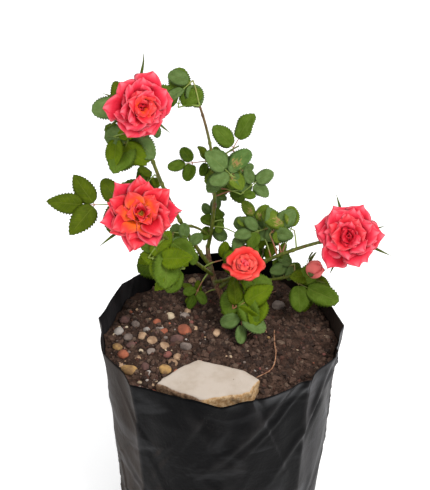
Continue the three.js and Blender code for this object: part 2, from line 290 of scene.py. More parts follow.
def drawn_in(angle):
    """How far straight panels from corner to corner stand inside the round, in radii."""
    turns = np.radians(np.array(RIM_CORNERS + [RIM_CORNERS[0] + 360]))
    here = (angle - turns[0]) % (2 * math.pi) + turns[0]
    panel = np.searchsorted(turns, here, side="right") - 1
    half = (turns[panel + 1] - turns[panel]) / 2
    return RIM_SAG * (1 - np.cos(half) / np.cos(here - turns[panel] - half))


def round_from(angle, other):
    """How far angles stand round from another, up to half a turn either way."""
    return (angle - other + math.pi) % (2 * math.pi) - math.pi


def creases(angle, height):
    """How far the folds and wrinkles stand out of the film, for arrays of places on it."""
    level = np.clip(height / BAG_TOP, 0, 1)
    shift = np.zeros_like(angle)
    for fold in FOLDS:
        away = np.abs(round_from(angle, math.radians(fold)))
        ridge = np.exp(-away / FOLD_WIDTH) - 0.45 * np.exp(-((away - FOLD_GROOVE) / 0.09) ** 2)
        shift = shift + (0.7 + 1.0 * level) * MM * ridge
    for wrinkle in WRINKLES:
        across = round_from(angle, wrinkle["angle"]) * RIM
        up = height - wrinkle["height"]
        slant = wrinkle["slant"]
        along = (across * math.sin(slant) + up * math.cos(slant)) / wrinkle["length"]
        aside = (across * math.cos(slant) - up * math.sin(slant)) / wrinkle["width"]
        ridge = np.exp(-np.abs(aside) ** 1.3) - 0.55 * np.exp(-((aside - 1.6) / 1.3) ** 2)
        shift = shift + wrinkle["depth"] * np.exp(-along ** 2) * ridge
    return shift * np.clip(height / FLAT_FOOT, 0, 1)


def film_shift(angle, height):
    """How far the film stands out from its round outline, for arrays of places on it."""
    level = np.clip(height / BAG_TOP, 0, 1)
    sway = 0.9 * MM * np.sin(2 * angle + 0.6) * level
    sag = RIM * drawn_in(angle) * (0.2 + 0.8 * np.clip((level - 0.86) / 0.14, 0, 1))
    return sway - sag * np.clip(height / FLAT_FOOT, 0, 1) + creases(angle, height)


def film_radius(angle, height):
    """Outside radius of the film, for arrays of places on it."""
    outline = smooth_route([(share * RIM, 0, rise * BAG_TOP) for share, rise in FILM_OUTLINE[3:]], MM)
    heights = [point.z for point in outline]
    radii = [point.x for point in outline]
    return np.interp(height, heights, radii) + film_shift(angle, height)


def spun(profile, steps):
    """A profile of radius and height turned once round +Z, closed where it meets the axis."""
    bm = bmesh.new()
    line = [bm.verts.new(point) for point in profile]
    for lower, upper in zip(line, line[1:]):
        bm.edges.new((lower, upper))
    geometry = bm.verts[:] + bm.edges[:]
    bmesh.ops.spin(bm, geom=geometry, axis=(0, 0, 1), angle=2 * math.pi, steps=steps, use_merge=True)
    bmesh.ops.remove_doubles(bm, verts=bm.verts, dist=0.01 * MM)
    bmesh.ops.recalc_face_normals(bm, faces=bm.faces)
    return bm


def polar(bm):
    """Each vertex's angle, radius and height, as arrays."""
    places = np.array([vert.co for vert in bm.verts])
    return np.arctan2(places[:, 1], places[:, 0]), np.hypot(places[:, 0], places[:, 1]), places[:, 2]


def set_polar(bm, angle, radius, height):
    for vert, turn, reach, rise in zip(bm.verts, angle, radius, height):
        vert.co = (reach * math.cos(turn), reach * math.sin(turn), rise)


def rough(places, scale, octaves=4):
    """Uneven ups and downs between about -1 and 1 at each place, scale patches to a metre."""
    return np.array([noise.fractal(Vector(place) * scale, 0.9, 2.1, octaves) for place in places])


def finished(source, name, finishes, slot, *nodes):
    """A piece from a bmesh, with its finishes, that stands for some nodes of the frame."""
    mesh = bpy.data.meshes.new(name)
    source.to_mesh(mesh)
    source.free()
    return dressed(mesh, finishes, slot, *nodes)


def dressed(mesh, finishes, slot, *nodes):
    """The object of a finished mesh, on the bush's one body."""
    for finish in finishes:
        mesh.materials.append(finish.material)
    mesh.shade_smooth()
    piece = bpy.data.objects.new(mesh.name, mesh)
    bpy.context.scene.collection.objects.link(piece)
    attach(piece, "root")
    if nodes:
        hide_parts(*nodes)
    return piece


film = Finish("black_film", Specular_IOR_Level=0.04, Coat_Roughness=0.3, Coat_Tint=srgb(214, 226, 255))
film_place = film.place()
sideways_on = film.split(film.node("ShaderNodeNewGeometry", output="Normal"), 0)
# Where the film stands out on its creases and wrinkles it is painted lighter: partly scuffing, partly a
# painted highlight on the ridges.
scuff_and_highlight = film.node("ShaderNodeAttribute", {"attribute_name": "stands_out"}, output=2)
crackle = film.cloud(film.stretched(film_place, (1, 1, 0.55)), 120, detail=6, distortion=0.6)
patches = film.cloud(film_place, 22, detail=5)
fine_dust = film.cloud(film_place, 700, detail=4)
speck = film.node("ShaderNodeTexVoronoi", inputs={"Vector": film_place, "Scale": 520})
specks = (1 - speck.between(0.05, 0.16)) * patches.between(0.5, 0.62)
dust = patches.between(0.46, 0.75) * fine_dust.between(0.35, 0.7) * 0.07 + specks * 0.4
streaky = film.cloud(film.stretched(film_place, (1, 1, 0.3)), 60, detail=6)
# The side that faces left is painted brownish: clay dust, and a painted reflection along that flank.
clay_dust_and_reflection = (0.0 - sideways_on).between(0.5, 0.8) * (0.12 + 0.42 * streaky)
# Painted reflection: the side that faces right is painted a paler grey.
painted_reflection_right = sideways_on.between(0.52, 0.9) * (0.12 + 0.46 * streaky.between(0.3, 0.7))
polish = film.cloud(film.stretched(film_place, (1, 1, 1.6)), 16, detail=3, distortion=1.2)
near_rim_top = film.split(film_place, 2).between(0.93 * BAG_TOP, 0.985 * BAG_TOP)
sheen = near_rim_top * sideways_on.between(0.24, 0.4) * (1 - sideways_on.between(0.5, 0.62))
film_colour = film.mixed(scuff_and_highlight * patches.between(0.35, 0.6), BLACK_FILM, SCUFFED_HIGHLIT_FILM)
film_colour = film.mixed(dust, film_colour, DUSTY_FILM)
film_colour = film.mixed(clay_dust_and_reflection, film_colour, CLAY_DUST_AND_REFLECTION)
film_colour = film.mixed(painted_reflection_right, film_colour, PAINTED_REFLECTION_GREY)
film.wear(
    Base_Color=film_colour,
    Roughness=0.34 + 0.2 * patches + 0.25 * specks + 0.2 * clay_dust_and_reflection,
    Coat_Weight=0.16 * polish.between(0.5, 0.68) + 0.4 * sheen,
    Normal=film.relief(crackle + 0.3 * film.cloud(film_place, 420), 0.45 * MM),
)

wall = smooth_route([(share * RIM, 0, rise * BAG_TOP) for share, rise in FILM_OUTLINE], 2.3 * MM)
bag = spun(wall, FILM_COLUMNS)
angle, radius, height = polar(bag)
on_wall = radius > 0.8 * RIM
radius = np.where(on_wall, radius + film_shift(angle, height), radius)
near_rim = np.clip((height / BAG_TOP - 0.93) / 0.07, 0, 1)
rim_wave = np.sin(3 * angle + 4.2) + 0.6 * np.sin(7 * angle + 2.0) + 0.35 * np.sin(17 * angle)
height = height + near_rim * 0.8 * MM * rim_wave
radius = radius + near_rim * 0.7 * MM * np.sin(11 * angle + 0.5)
flared = round_from(angle, math.radians(FLARE))
radius = radius + near_rim ** 2 * 2.6 * MM * np.exp(-(flared / 0.24) ** 2)
stands_out = np.where(on_wall, np.clip((creases(angle, height) - 0.5 * MM) / (2.4 * MM), 0, 1), 0)
set_polar(bag, angle, radius, height)
bag_piece = finished(bag, "film_bag", [film], "bag_film", "grow_bag", "bag_rim")
bag_piece.data.attributes.new("stands_out", "FLOAT", "POINT").data.foreach_set("value", stands_out)
wall_maker = bag_piece.modifiers.new("film", "SOLIDIFY")
wall_maker.thickness = FILM
wall_maker.offset = -1

# ---- Soil ----
# Dry brown potting soil fills the bag to just below its bare rim. It is one closed body with
# a crumbled top, and loose crumbs lie on it.
SOIL_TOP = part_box("flat_stone")[0].z + 1 * MM
SOIL_DARK = srgb(38, 27, 21)
SOIL_LIGHT = srgb(92, 70, 58)

earth = Finish("dry_soil", Roughness=0.96, Specular_IOR_Level=0.2)
earth_place = earth.place()
clods = earth.cloud(earth_place, 190, detail=10, roughness=0.72, distortion=0.4)
damp = earth.cloud(earth_place, 30, detail=5)
earth_colour = earth.mixed(clods.between(0.36, 0.68), SOIL_DARK, SOIL_LIGHT)
earth.wear(
    Base_Color=earth.mixed(0.6 * damp.between(0.4, 0.62), earth_colour, srgb(58, 41, 34)),
    Normal=earth.relief(clods, 1.8 * MM),
)


def soil_height(places):
    """Height of the crumbled top above the ground, at places in the bag."""
    broad = rough(places, 38, 2)
    lumps = rough(places, 120, 5)
    return SOIL_TOP + 1.3 * MM * broad + 2.4 * MM * np.sign(lumps) * np.abs(lumps) ** 0.8


SOIL_RINGS = 84
soil_edge = float(film_radius(np.zeros(1), np.array([SOIL_TOP]))[0])
soil_profile = [(0, 0, 6 * MM), (0.8 * RIM, 0, 6 * MM), (0.86 * RIM, 0, 0.2 * BAG_TOP),
                (0.9 * RIM, 0, 0.8 * BAG_TOP)]
soil_profile += [(soil_edge * ring / SOIL_RINGS, 0, SOIL_TOP) for ring in range(SOIL_RINGS, -1, -1)]
soil = spun(soil_profile, 250)
angle, radius, height = polar(soil)
on_top = height > SOIL_TOP - 1 * MM
edge = film_radius(angle, np.full_like(angle, SOIL_TOP)) - 1.1 * MM
radius = np.where(on_top, radius / soil_edge * edge, radius)
flat = np.stack([radius * np.cos(angle), radius * np.sin(angle), np.zeros_like(radius)], axis=1)
height = np.where(on_top, soil_height(flat), height)
set_polar(soil, angle, radius, height)
finished(soil, "soil_body", [earth], "soil", "soil")


def scattered(dice, count, share):
    """Places on the soil, evenly spread over a share of the bag's radius."""
    turns = np.array([dice.uniform(0, 2 * math.pi) for _ in range(count)])
    walls = film_radius(turns, np.full(count, SOIL_TOP))
    reaches = [math.sqrt(dice.random()) * share * wall for wall in walls]
    flat_places = [(r * math.cos(turn), r * math.sin(turn), 0) for turn, r in zip(turns, reaches)]
    heights = soil_height(np.array(flat_places))
    return [Vector((x, y, z)) for (x, y, _), z in zip(flat_places, heights)]


class Heap:
    """Copies of one closed blank, each placed or bent its own way, joined into one mesh."""

    def __init__(self, blank):
        blank.verts.index_update()
        self.corners = np.array([vert.co for vert in blank.verts])
        self.faces = [[vert.index for vert in face.verts] for face in blank.faces]
        self.upper = [face.normal.z > 0 for face in blank.faces]
        self.places = []
        self.looks = []
        blank.free()

    def add(self, places, look=0):
        self.places.append(places)
        self.looks.append(look)

    def mesh(self, name):
        """The joined mesh. A copy's look is the number of the finish that it wears."""
        count = len(self.corners)
        starts = range(0, count * len(self.places), count)
        faces = [[corner + start for corner in face] for start in starts for face in self.faces]
        mesh = bpy.data.meshes.new(name)
        mesh.from_pydata(np.concatenate(self.places), [], faces)
        looks = np.repeat(np.array(self.looks, np.int32), len(self.faces))
        mesh.polygons.foreach_set("material_index", looks)
        return mesh


def ball(rounds):
    blank = bmesh.new()
    bmesh.ops.create_icosphere(blank, subdivisions=rounds, radius=1)
    return blank


def turned_any_way(dice):
    return np.array(Matrix.Rotation(dice.uniform(0, 6.3), 3, Vector([dice.gauss(0, 1) for _ in "xyz"])))


def earthy(name, colour, other, scale, relief):
    """A mineral finish that wanders between two colours."""
    finish = Finish(name, Roughness=0.88, Specular_IOR_Level=0.3)
    place = finish.place()
    patch = finish.cloud(place, scale, detail=6)
    return finish.wear(
        Base_Color=finish.mixed(patch.between(0.35, 0.65), colour, other),
        Normal=finish.relief(patch, relief),
    )


soil_dice = random.Random(23)
crumb_finishes = [
    earthy("crumb_dark", srgb(40, 29, 24), srgb(62, 46, 38), 900, 0.5 * MM),
    earthy("crumb_brown", srgb(70, 51, 42), srgb(92, 70, 58), 900, 0.5 * MM),
    earthy("crumb_dry", srgb(108, 90, 76), srgb(82, 64, 54), 900, 0.5 * MM),
    earthy("crumb_red", srgb(88, 56, 44), srgb(66, 44, 37), 900, 0.5 * MM),
]
crumbs = Heap(ball(1))
for spot in scattered(soil_dice, 4200, 0.955):
    size = soil_dice.choice((0.4, 0.5, 0.6, 0.8, 1.0, 1.3, 1.8, 2.6)) * MM * soil_dice.uniform(0.8, 1.2)
    squash = np.array([soil_dice.uniform(0.6, 1.3) for _ in "xyz"])
    uneven = np.array([soil_dice.uniform(0.7, 1.25) for _ in crumbs.corners])[:, None]
    lump = crumbs.corners * squash * uneven * size
    turned = turned_any_way(soil_dice)
    kind = soil_dice.choice((0, 0, 0, 1, 1, 1, 1, 2, 3))
    crumbs.add(lump @ turned + np.array(spot), kind)
crumbly = dressed(crumbs.mesh("soil_crumbs"), crumb_finishes, "soil")
crumbly.data.shade_flat()

# ---- Pebbles and grit ----
# Worn river stones that came with the soil, mostly on the left, each sunk a third of the
# way into it, with finer grit of the same stones between them.
STONES = {           # each kind's two colours
    "tan": (srgb(188, 158, 128), srgb(140, 110, 86)),
    "grey": (srgb(138, 124, 116), srgb(98, 86, 80)),
    "pale": (srgb(170, 162, 156), srgb(120, 112, 106)),
    "orange": (srgb(170, 98, 72), srgb(128, 74, 56)),
    "cream": (srgb(198, 180, 154), srgb(156, 134, 108)),
    "plum": (srgb(108, 78, 72), srgb(76, 56, 52)),
    "ochre": (srgb(186, 148, 92), srgb(132, 102, 70)),
    "red": (srgb(130, 80, 72), srgb(98, 62, 56)),
}
STONE_ORDER = list(STONES)
STONE_MIX = ["tan"] * 4 + ["grey"] * 4 + ["pale", "orange", "orange", "cream", "plum", "ochre", "red"]
LARGE_STONES = 230     # tries at a large stone, and then at a small one
SMALL_STONES = 260
BED_EDGE = -22 * MM    # the stones lie thick to the left of this, and in front of the next
BED_BACK = 35 * MM
KEPT_IN_BED = 0.9      # the share of tries that leave a stone
KEPT_ELSEWHERE = 0.06
stones = [earthy("stone_" + kind, *colours, 160, 0.2 * MM) for kind, colours in STONES.items()]


def pebble(corners, dice, size):
    """A worn stone of about a size across, flatter than it is wide."""
    swell = np.array([noise.noise(Vector(corner) * 1.1 + Vector((size * 9e4, 0, 0))) for corner in corners])
    shape = np.array([dice.uniform(0.85, 1.1), dice.uniform(0.72, 0.95), dice.uniform(0.5, 0.7)])
    turn = np.array(Matrix.Rotation(dice.uniform(0, 6.3), 3, "Z"))
    return (corners * shape * (1 + 0.2 * swell[:, None]) * size / 2) @ turn


pebbles = Heap(ball(3))
laid = []
for number, spot in enumerate(scattered(soil_dice, LARGE_STONES + SMALL_STONES, 0.9)):
    spot.z = 0
    large = number < LARGE_STONES
    size = (soil_dice.uniform(7.0, 12.5) if large else soil_dice.uniform(3.0, 6.5)) * MM
    kind = soil_dice.choice(STONE_MIX)
    kept = KEPT_IN_BED if spot.x < BED_EDGE and spot.y < BED_BACK else KEPT_ELSEWHERE
    apart = all((spot - other).length > (size + other_size) * 0.46 for other, other_size, _ in laid)
    if soil_dice.random() < kept and apart:
        laid.append((spot, size, kind))
for spot, size, kind in laid:
    flat_spot = np.array([spot])
    flat_spot[0, 2] = soil_height(flat_spot)[0] + 0.08 * size
    pebbles.add(pebble(pebbles.corners, soil_dice, size) + flat_spot, STONE_ORDER.index(kind))
dressed(pebbles.mesh("pebbles"), stones, "pale_stone")

grit = Heap(ball(2))
for spot in scattered(soil_dice, 800, 0.95):
    kept = 0.6 if spot.x < -10 * MM and spot.y < 45 * MM else 0.12
    size = soil_dice.choice((1.2, 1.6, 2.2, 3.0)) * MM * soil_dice.uniform(0.8, 1.25)
    lump = pebble(grit.corners, soil_dice, size)
    if soil_dice.random() < kept:
        grit.add(lump + np.array(spot), soil_dice.choice((0, 1, 1, 1, 2, 3, 4, 5, 5, 7)))
dressed(grit.mesh("grit"), stones, "pale_stone")

# ---- Flat stone ----
# A piece of pale slab laid on the soil at the front. Its worn top is smooth, and its broken
# sides are rough, painted lighter on the right and darker on the left as light and shade, and
# darker towards the foot.
STONE_GRAIN = 1.1 * MM
SLAB_THICKER = 1.3             # the real slab against the one in the frame
SLAB_SLOPE = 1 * MM            # how far the front of the top stands behind the front of the foot

slab = bmesh.new()
slab.from_mesh(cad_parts["flat_stone"].data)
bmesh.ops.remove_doubles(slab, verts=slab.verts, dist=0.01 * MM)
slab_mesh = bpy.data.meshes.new("slab")
slab.to_mesh(slab_mesh)
slab.free()
slab_block = bpy.data.objects.new("slab", slab_mesh)
bpy.context.scene.collection.objects.link(slab_block)
remesh = slab_block.modifiers.new("even_faces", "REMESH")
remesh.mode = "VOXEL"
remesh.voxel_size = STONE_GRAIN
worn = bmesh.new()
worn.from_object(slab_block, bpy.context.evaluated_depsgraph_get())
bpy.data.objects.remove(slab_block)
bmesh.ops.smooth_vert(worn, verts=worn.verts, factor=0.5, use_axis_x=True, use_axis_y=True, use_axis_z=True)
places = np.array([vert.co for vert in worn.verts])
chips = rough(places, 110, 4)
waves = rough(places, 26, 2)
slab_low, slab_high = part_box("flat_stone")
slab_middle = (slab_low + slab_high) / 2
for vert, chip, wave in zip(worn.verts, chips, waves):
    side = 1 - abs(vert.normal.z)
    vert.co += vert.normal * MM * (0.3 * wave + (0.07 + 1.6 * side) * chip)
    level = (vert.co.z - slab_low.z) / (slab_high.z - slab_low.z)
    frontness = max(0, (slab_middle.y - vert.co.y) / (slab_middle.y - slab_low.y))
    vert.co.y += SLAB_SLOPE * frontness * level
    vert.co.z = slab_low.z + (vert.co.z - slab_low.z) * SLAB_THICKER

slab_finish = Finish("pale_slab", Roughness=0.82, Specular_IOR_Level=0.35)
slab_place = slab_finish.place()
height_up = slab_finish.split(slab_place, 2)
blotch = slab_finish.cloud(slab_place, 60, detail=6)
fine = slab_finish.cloud(slab_place, 420, detail=6, roughness=0.7)
slab_normal = slab_finish.node("ShaderNodeNewGeometry", output="Normal")
face_up = slab_finish.split(slab_normal, 2)
worn_top = (face_up + 0.2 * fine).between(0.7, 0.94)
top_colour = slab_finish.mixed(0.7 * blotch.between(0.4, 0.62), srgb(183, 171, 159), srgb(168, 154, 139))
# Painted light and shade: broken sides that face right, towards the key lamp, are painted a lighter ochre,
# and those that face left a darker brown of the same stone.
painted_lit_side = slab_finish.mixed(fine.between(0.4, 0.6), srgb(172, 132, 88), srgb(206, 176, 136))
painted_shaded_side = slab_finish.mixed(fine.between(0.4, 0.6), srgb(104, 78, 58), srgb(148, 118, 92))
facing_right = slab_finish.split(slab_normal, 0).between(-0.3, 0.2)
side_colour = slab_finish.mixed(facing_right, painted_shaded_side, painted_lit_side)
# The sides are darker towards the foot.
above_dark_foot = (height_up + 0.002 * blotch).between(slab_low.z + 1 * MM, slab_low.z + 5 * MM)
low_colour = slab_finish.mixed(above_dark_foot, srgb(104, 80, 62), side_colour)
pits = slab_finish.node("ShaderNodeTexVoronoi", inputs={"Vector": slab_place, "Scale": 260})
pitted = (1 - pits.between(0.06, 0.13)) * slab_finish.cloud(slab_place, 90).between(0.56, 0.66)
slab_colour = slab_finish.mixed(worn_top, low_colour, top_colour)
slab_finish.wear(
    Base_Color=slab_finish.mixed(0.7 * pitted, slab_colour, srgb(96, 78, 62)),
    Normal=slab_finish.relief(fine - pitted, 0.35 * MM),
)
finished(worn, "flat_slab", [slab_finish], "pale_stone", "flat_stone")

# ---- Fallen twigs ----
# A few thin dead twigs lie on the soil. They are dry, pale brown and
# kinked at their old joints, and each is one bent rod that tapers to its tip.
FALLEN_TWIGS = [(62, 1.3), (24, 1.0), (16, 0.9), (20, 1.1)]       # length and thickness
TWIG_KINK = 0.5        # how sharply each one turns at a joint, in radians


def rod(sides, steps):
    """A straight closed rod a unit long, cut into steps, as a blank to bend."""
    blank = bmesh.new()
    bmesh.ops.create_cone(blank, cap_ends=True, segments=sides, radius1=1, radius2=1, depth=1)
    upright = [edge for edge in blank.edges if abs(edge.verts[0].co.z - edge.verts[1].co.z) > 0.5]
    bmesh.ops.subdivide_edges(blank, edges=upright, cuts=steps - 1)
    return blank


def threaded(corners, route, radius):
    """A straight rod's corners, bent so that its axis follows a route. The radius is one for
    each corner, or one for all."""
    points = np.array(route)
    hops = np.linalg.norm(np.diff(points, axis=0), axis=1)
    travel = np.concatenate([[0], np.cumsum(hops)]) / hops.sum()
    ahead = np.gradient(points, travel, axis=0)
    ahead /= np.linalg.norm(ahead, axis=1)[:, None]
    overall = points[-1] - points[0]
    across = np.eye(3)[np.argmin(np.abs(overall))]
    share = corners[:, 2] + 0.5
    centre = np.stack([np.interp(share, travel, points[:, axis]) for axis in range(3)], axis=1)
    way = np.stack([np.interp(share, travel, ahead[:, axis]) for axis in range(3)], axis=1)
    aside = np.cross(way, across)
    aside /= np.linalg.norm(aside, axis=1)[:, None]
    other = np.cross(way, aside)
    other /= np.linalg.norm(other, axis=1)[:, None]
    spread = np.broadcast_to(radius, share.shape)[:, None]
    return centre + spread * (corners[:, :1] * aside + corners[:, 1:2] * other)


twig_finish = Finish("dry_twig", Roughness=0.8, Specular_IOR_Level=0.3)
twig_grain = twig_finish.cloud(twig_finish.place(), 600, detail=5)
twig_finish.wear(
    Base_Color=twig_finish.mixed(twig_grain.between(0.38, 0.62), srgb(122, 80, 58), srgb(176, 134, 104)),
    Normal=twig_finish.relief(twig_grain, 0.2 * MM),
)
fallen = Heap(rod(7, 24))
twig_dice = random.Random(12)
for length, thickness in FALLEN_TWIGS:
    spot = scattered(twig_dice, 1, 0.6)[0]
    spot.x = abs(spot.x)
    heading = twig_dice.uniform(0, 2 * math.pi)
    corners = []
    for joint in range(5):
        under = soil_height(np.array([spot]))[0]
        corners.append(Vector((spot.x, spot.y, under + (0.6 + twig_dice.uniform(0, 3)) * MM)))
        heading += twig_dice.gauss(0, TWIG_KINK)
        spot = spot + Vector((math.cos(heading), math.sin(heading), 0)) * length * MM / 4
    route = smooth_route(corners, 1.5 * MM)
    taper = thickness * (1 - 0.4 * (fallen.corners[:, 2] + 0.5))
    knots = 1 + 0.25 * rough(fallen.corners * [1, 1, 6], 1.0, 3)
    fallen.add(threaded(fallen.corners, route, taper * knots * MM / 2))
dressed(fallen.mesh("fallen_twigs"), [twig_finish], "bark")

# ---- Main stem and canes ----
# One woody stem leans out of the soil and forks into green canes, which turn brown where the
# sun reaches them. Each cane swells at the joints where a leaf grows or once grew.
BLOOM_FACES = {      # the way that each bloom looks out
    "bloom_upper_left": Vector((0.36, -0.88, 0.27)).normalized(),
    "bloom_lower_left": Vector((0.1, -0.8, 0.6)).normalized(),
    "bloom_right": Vector((-0.2, -0.82, 0.53)).normalized(),
    "bloom_front": Vector((0.05, -0.55, 0.83)).normalized(),
    "flower_bud": Vector((0.7, -0.3, 0.55)).normalized(),
}
BLOOM_DROP = {       # how far the petals lean to one side and down, in millimetres
    "bloom_upper_left": Vector((0.7, 0, -2.4)),
    "bloom_front": Vector((-1.5, 0, -2.4)),
}
BLOOM_RADIUS = {
    "bloom_upper_left": 22.5 * MM,
    "bloom_lower_left": 25 * MM,
    "bloom_right": 25 * MM,
    "bloom_front": 14.4 * MM,
    "flower_bud": 7.2 * MM,
}
CANE_SIDES = 16
JOINT_SPACING = 21 * MM
FOOT_FLARE = 2.2 * MM          # how much thicker the stem is at the soil, and how soon that ends
FLARE_HEIGHT = 3.5 * MM


def heart(bloom):
    """The middle of a bloom's petals, a little off the middle of its box."""
    low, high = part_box(bloom)
    return (low + high) / 2 + BLOOM_DROP.get(bloom, Vector()) * MM


def behind(bloom):
    """Where the cane meets the back of a bloom."""
    return heart(bloom) - 0.5 * BLOOM_RADIUS[bloom] * BLOOM_FACES[bloom]


STEM_FOOT = Vector((5, 45, 200)) * MM
CANES = {            # the older cane and share of it, reach or bloom, bow in millimetres, two radii
    "main_stem": (None, 0, (-15, 20, 45), (-4, 2, 0), 2.7, 1.9),
    "cane_centre": ("main_stem", 0.98, (-5, -20, 135), (8, 3, 0), 1.8, 0.9),
    "cane_left": ("main_stem", 0.6, "bloom_upper_left", (-8, 4, -4), 1.8, 1.2),
    "cane_lower_left": ("main_stem", 0.45, "bloom_lower_left", (0, 0, -2), 1.6, 1.2),
    "side_shoot": ("cane_left", 0.3, (20, 10, -15), (0, 0, 3), 1.2, 0.9),
    "cane_right": ("main_stem", 0.25, "bloom_right", (-3, 3, 5), 1.9, 1.2),
    "stem_front": ("main_stem", 0.35, "bloom_front", (-1, 0, -3), 1.5, 1.2),
    "stem_bud": ("cane_right", 0.15, "flower_bud", (0, 0, -5), 1.4, 1.2),
    "twig_right": ("cane_centre", 0.62, (20, 10, 10), (0, 0, 1), 0.8, 0.6),
}


def cane_route(start, end, bow):
    """Points down a cane's axis: a curve whose middle stands aside by the bow."""
    control = (start + end) / 2 + 2 * bow
    steps = max(4, round((end - start).length / (2 * MM)))
    shares = [step / steps for step in range(steps + 1)]
    return [start * (1 - t) ** 2 + control * 2 * t * (1 - t) + end * t ** 2 for t in shares]


bark = Finish("brown_bark", Roughness=0.82, Specular_IOR_Level=0.3)
bark_place = bark.place()
grooves = bark.cloud(bark.stretched(bark_place, (1, 1, 0.22)), 900, detail=6, roughness=0.7)
bark_colour = bark.mixed(grooves.between(0.38, 0.62), srgb(82, 54, 40), srgb(142, 104, 78))
bark.wear(
    Base_Color=bark.mixed(bark.cloud(bark_place, 120).between(0.52, 0.7), bark_colour, srgb(112, 112, 72)),
    Normal=bark.relief(grooves, 0.5 * MM),
)
green_bark = Finish("green_bark", Roughness=0.5, Specular_IOR_Level=0.4)
green_place = green_bark.place()
streaks = green_bark.cloud(green_bark.stretched(green_place, (1, 1, 0.2)), 700, detail=5)
sunned = green_bark.cloud(green_place, 34, detail=2).between(0.5, 0.66)
top_of_bush = green_bark.split(green_place, 2).between(0.84 * WHOLE_HEIGHT, 0.9 * WHOLE_HEIGHT)
sunned = sunned.math("MAXIMUM", sunned, top_of_bush)
green_colour = green_bark.mixed(streaks.between(0.35, 0.65), srgb(70, 80, 18), srgb(104, 112, 36))
brown_colour = green_bark.mixed(streaks.between(0.35, 0.65), srgb(76, 46, 26), srgb(104, 72, 38))
green_bark.wear(
    Base_Color=green_bark.mixed(sunned * 0.85, green_colour, brown_colour),
    Normal=green_bark.relief(streaks, 0.2 * MM),
)

cane_dice = random.Random(5)
cane_routes = {}
for name, (older, share, goal, bow, foot, tip) in CANES.items():
    start = STEM_FOOT if older is None else cane_routes[older][round(share * (len(cane_routes[older]) - 1))]
    end = behind(goal) if isinstance(goal, str) else start + Vector(goal) * MM
    route = cane_route(start, end, Vector(bow) * MM)
    cane_routes[name] = route
    length = sum((after - before).length for before, after in zip(route, route[1:]))
    woody = name == "main_stem"
    blank = rod(CANE_SIDES, max(8, round(length / (0.9 * MM))))
    corners = np.array([vert.co for vert in blank.verts])
    travel = (corners[:, 2] + 0.5) * length
    girth = foot * MM + (tip - foot) * MM * travel / length
    if woody:
        girth += FOOT_FLARE * np.exp(-travel / FLARE_HEIGHT)
    joint = cane_dice.uniform(0.3, 0.9) * JOINT_SPACING
    while joint < length - 4 * MM:
        girth *= 1 + 0.3 * np.exp(-((travel - joint) / (1.3 * MM)) ** 2)
        girth *= 1 - 0.12 * np.exp(-((travel - joint - 1.9 * MM) / (0.5 * MM)) ** 2)
        joint += cane_dice.uniform(0.75, 1.25) * JOINT_SPACING
    grain = np.stack([corners[:, 0] * 1.3, corners[:, 1] * 1.3, travel / (5 * MM)], axis=1)
    girth *= 1 + (0.13 if woody else 0.05) * rough(grain, 1.0, 4)
    for vert, place in zip(blank.verts, threaded(corners, route, girth)):
        vert.co = place
    bmesh.ops.recalc_face_normals(blank, faces=blank.faces)
    finish, slot = (bark, "bark") if woody else (green_bark, "green_cane")
    finished(blank, name + "_bark", [finish], slot, name)

# ---- Prickles ----
# Small hooked prickles stand on the canes' skin at uneven distances. They snap off cleanly,
# and their tips dry to a reddish brown.
prickle_finish = Finish("prickle", Roughness=0.5)
prickle_place = prickle_finish.place()
prickle_finish.wear(
    Base_Color=prickle_finish.mixed(
        prickle_finish.cloud(prickle_place, 500), srgb(92, 48, 30), srgb(122, 84, 44)))
prickles = Heap(rod(6, 4))
for name in ("cane_centre", "cane_left", "cane_lower_left", "cane_right", "stem_front"):
    route = cane_routes[name]
    for step in range(8, len(route) - 8, 13):
        step += cane_dice.randint(-2, 2)
        way = (route[step + 1] - route[step]).normalized()
        out = Vector([cane_dice.gauss(0, 1) for _ in "xyz"])
        out = (out - out.dot(way) * way).normalized()
        root = route[step] + out * 1.0 * MM
        hooked = [root, root + (out * 1.5 - way * 0.2) * MM, root + (out * 2.6 - way * 1.2) * MM]
        share = prickles.corners[:, 2] + 0.5
        girth = (0.75 * (1 - share) ** 0.8 + 0.05) * MM
        prickles.add(threaded(prickles.corners, smooth_route(hooked, 0.5 * MM), girth))
dressed(prickles.mesh("prickles"), [prickle_finish], "green_cane")

# ---- Leaves ----
# Each leaf has two to seven toothed leaflets on one stalk, folded a little along the middle
# rib and turned up to the light. Old ones have brown blotches, young ones are yellow-green, and
# some of that yellow-green is painted light shining through leaves from behind.
LIGHT_SIDE = Vector((0, -0.77, 0.64))
LEAF_RISE = Vector((0, 0.55, 0.835))          # up the leaf's own plane
TOOTH_ROWS = 24
TINTS = {            # upper side in the sun and in its paler patches, and the underside
    "cool": (srgb(86, 110, 56), srgb(102, 126, 72), srgb(116, 138, 92)),
    "green": (srgb(76, 100, 22), srgb(91, 115, 37), srgb(104, 126, 66)),
    "deep": (srgb(54, 76, 8), srgb(68, 90, 14), srgb(92, 112, 54)),
    "olive": (srgb(66, 82, 3), srgb(80, 96, 8), srgb(102, 118, 56)),
    # Bright yellow-green: partly young leaves, partly painted light shining through leaves lit from behind.
    "young_and_backlit": (srgb(84, 106, 6), srgb(98, 119, 14), srgb(116, 134, 62)),
    "spotted": (srgb(86, 108, 24), srgb(104, 124, 40), srgb(112, 132, 70)),
    "blotched": (srgb(74, 104, 48), srgb(92, 120, 62), srgb(112, 132, 80)),
}
TINT_ORDER = list(TINTS)
PLAIN_TINTS = ("cool", "green", "deep", "olive", "young_and_backlit")
POINTED_TINTS = ("olive", "young_and_backlit")


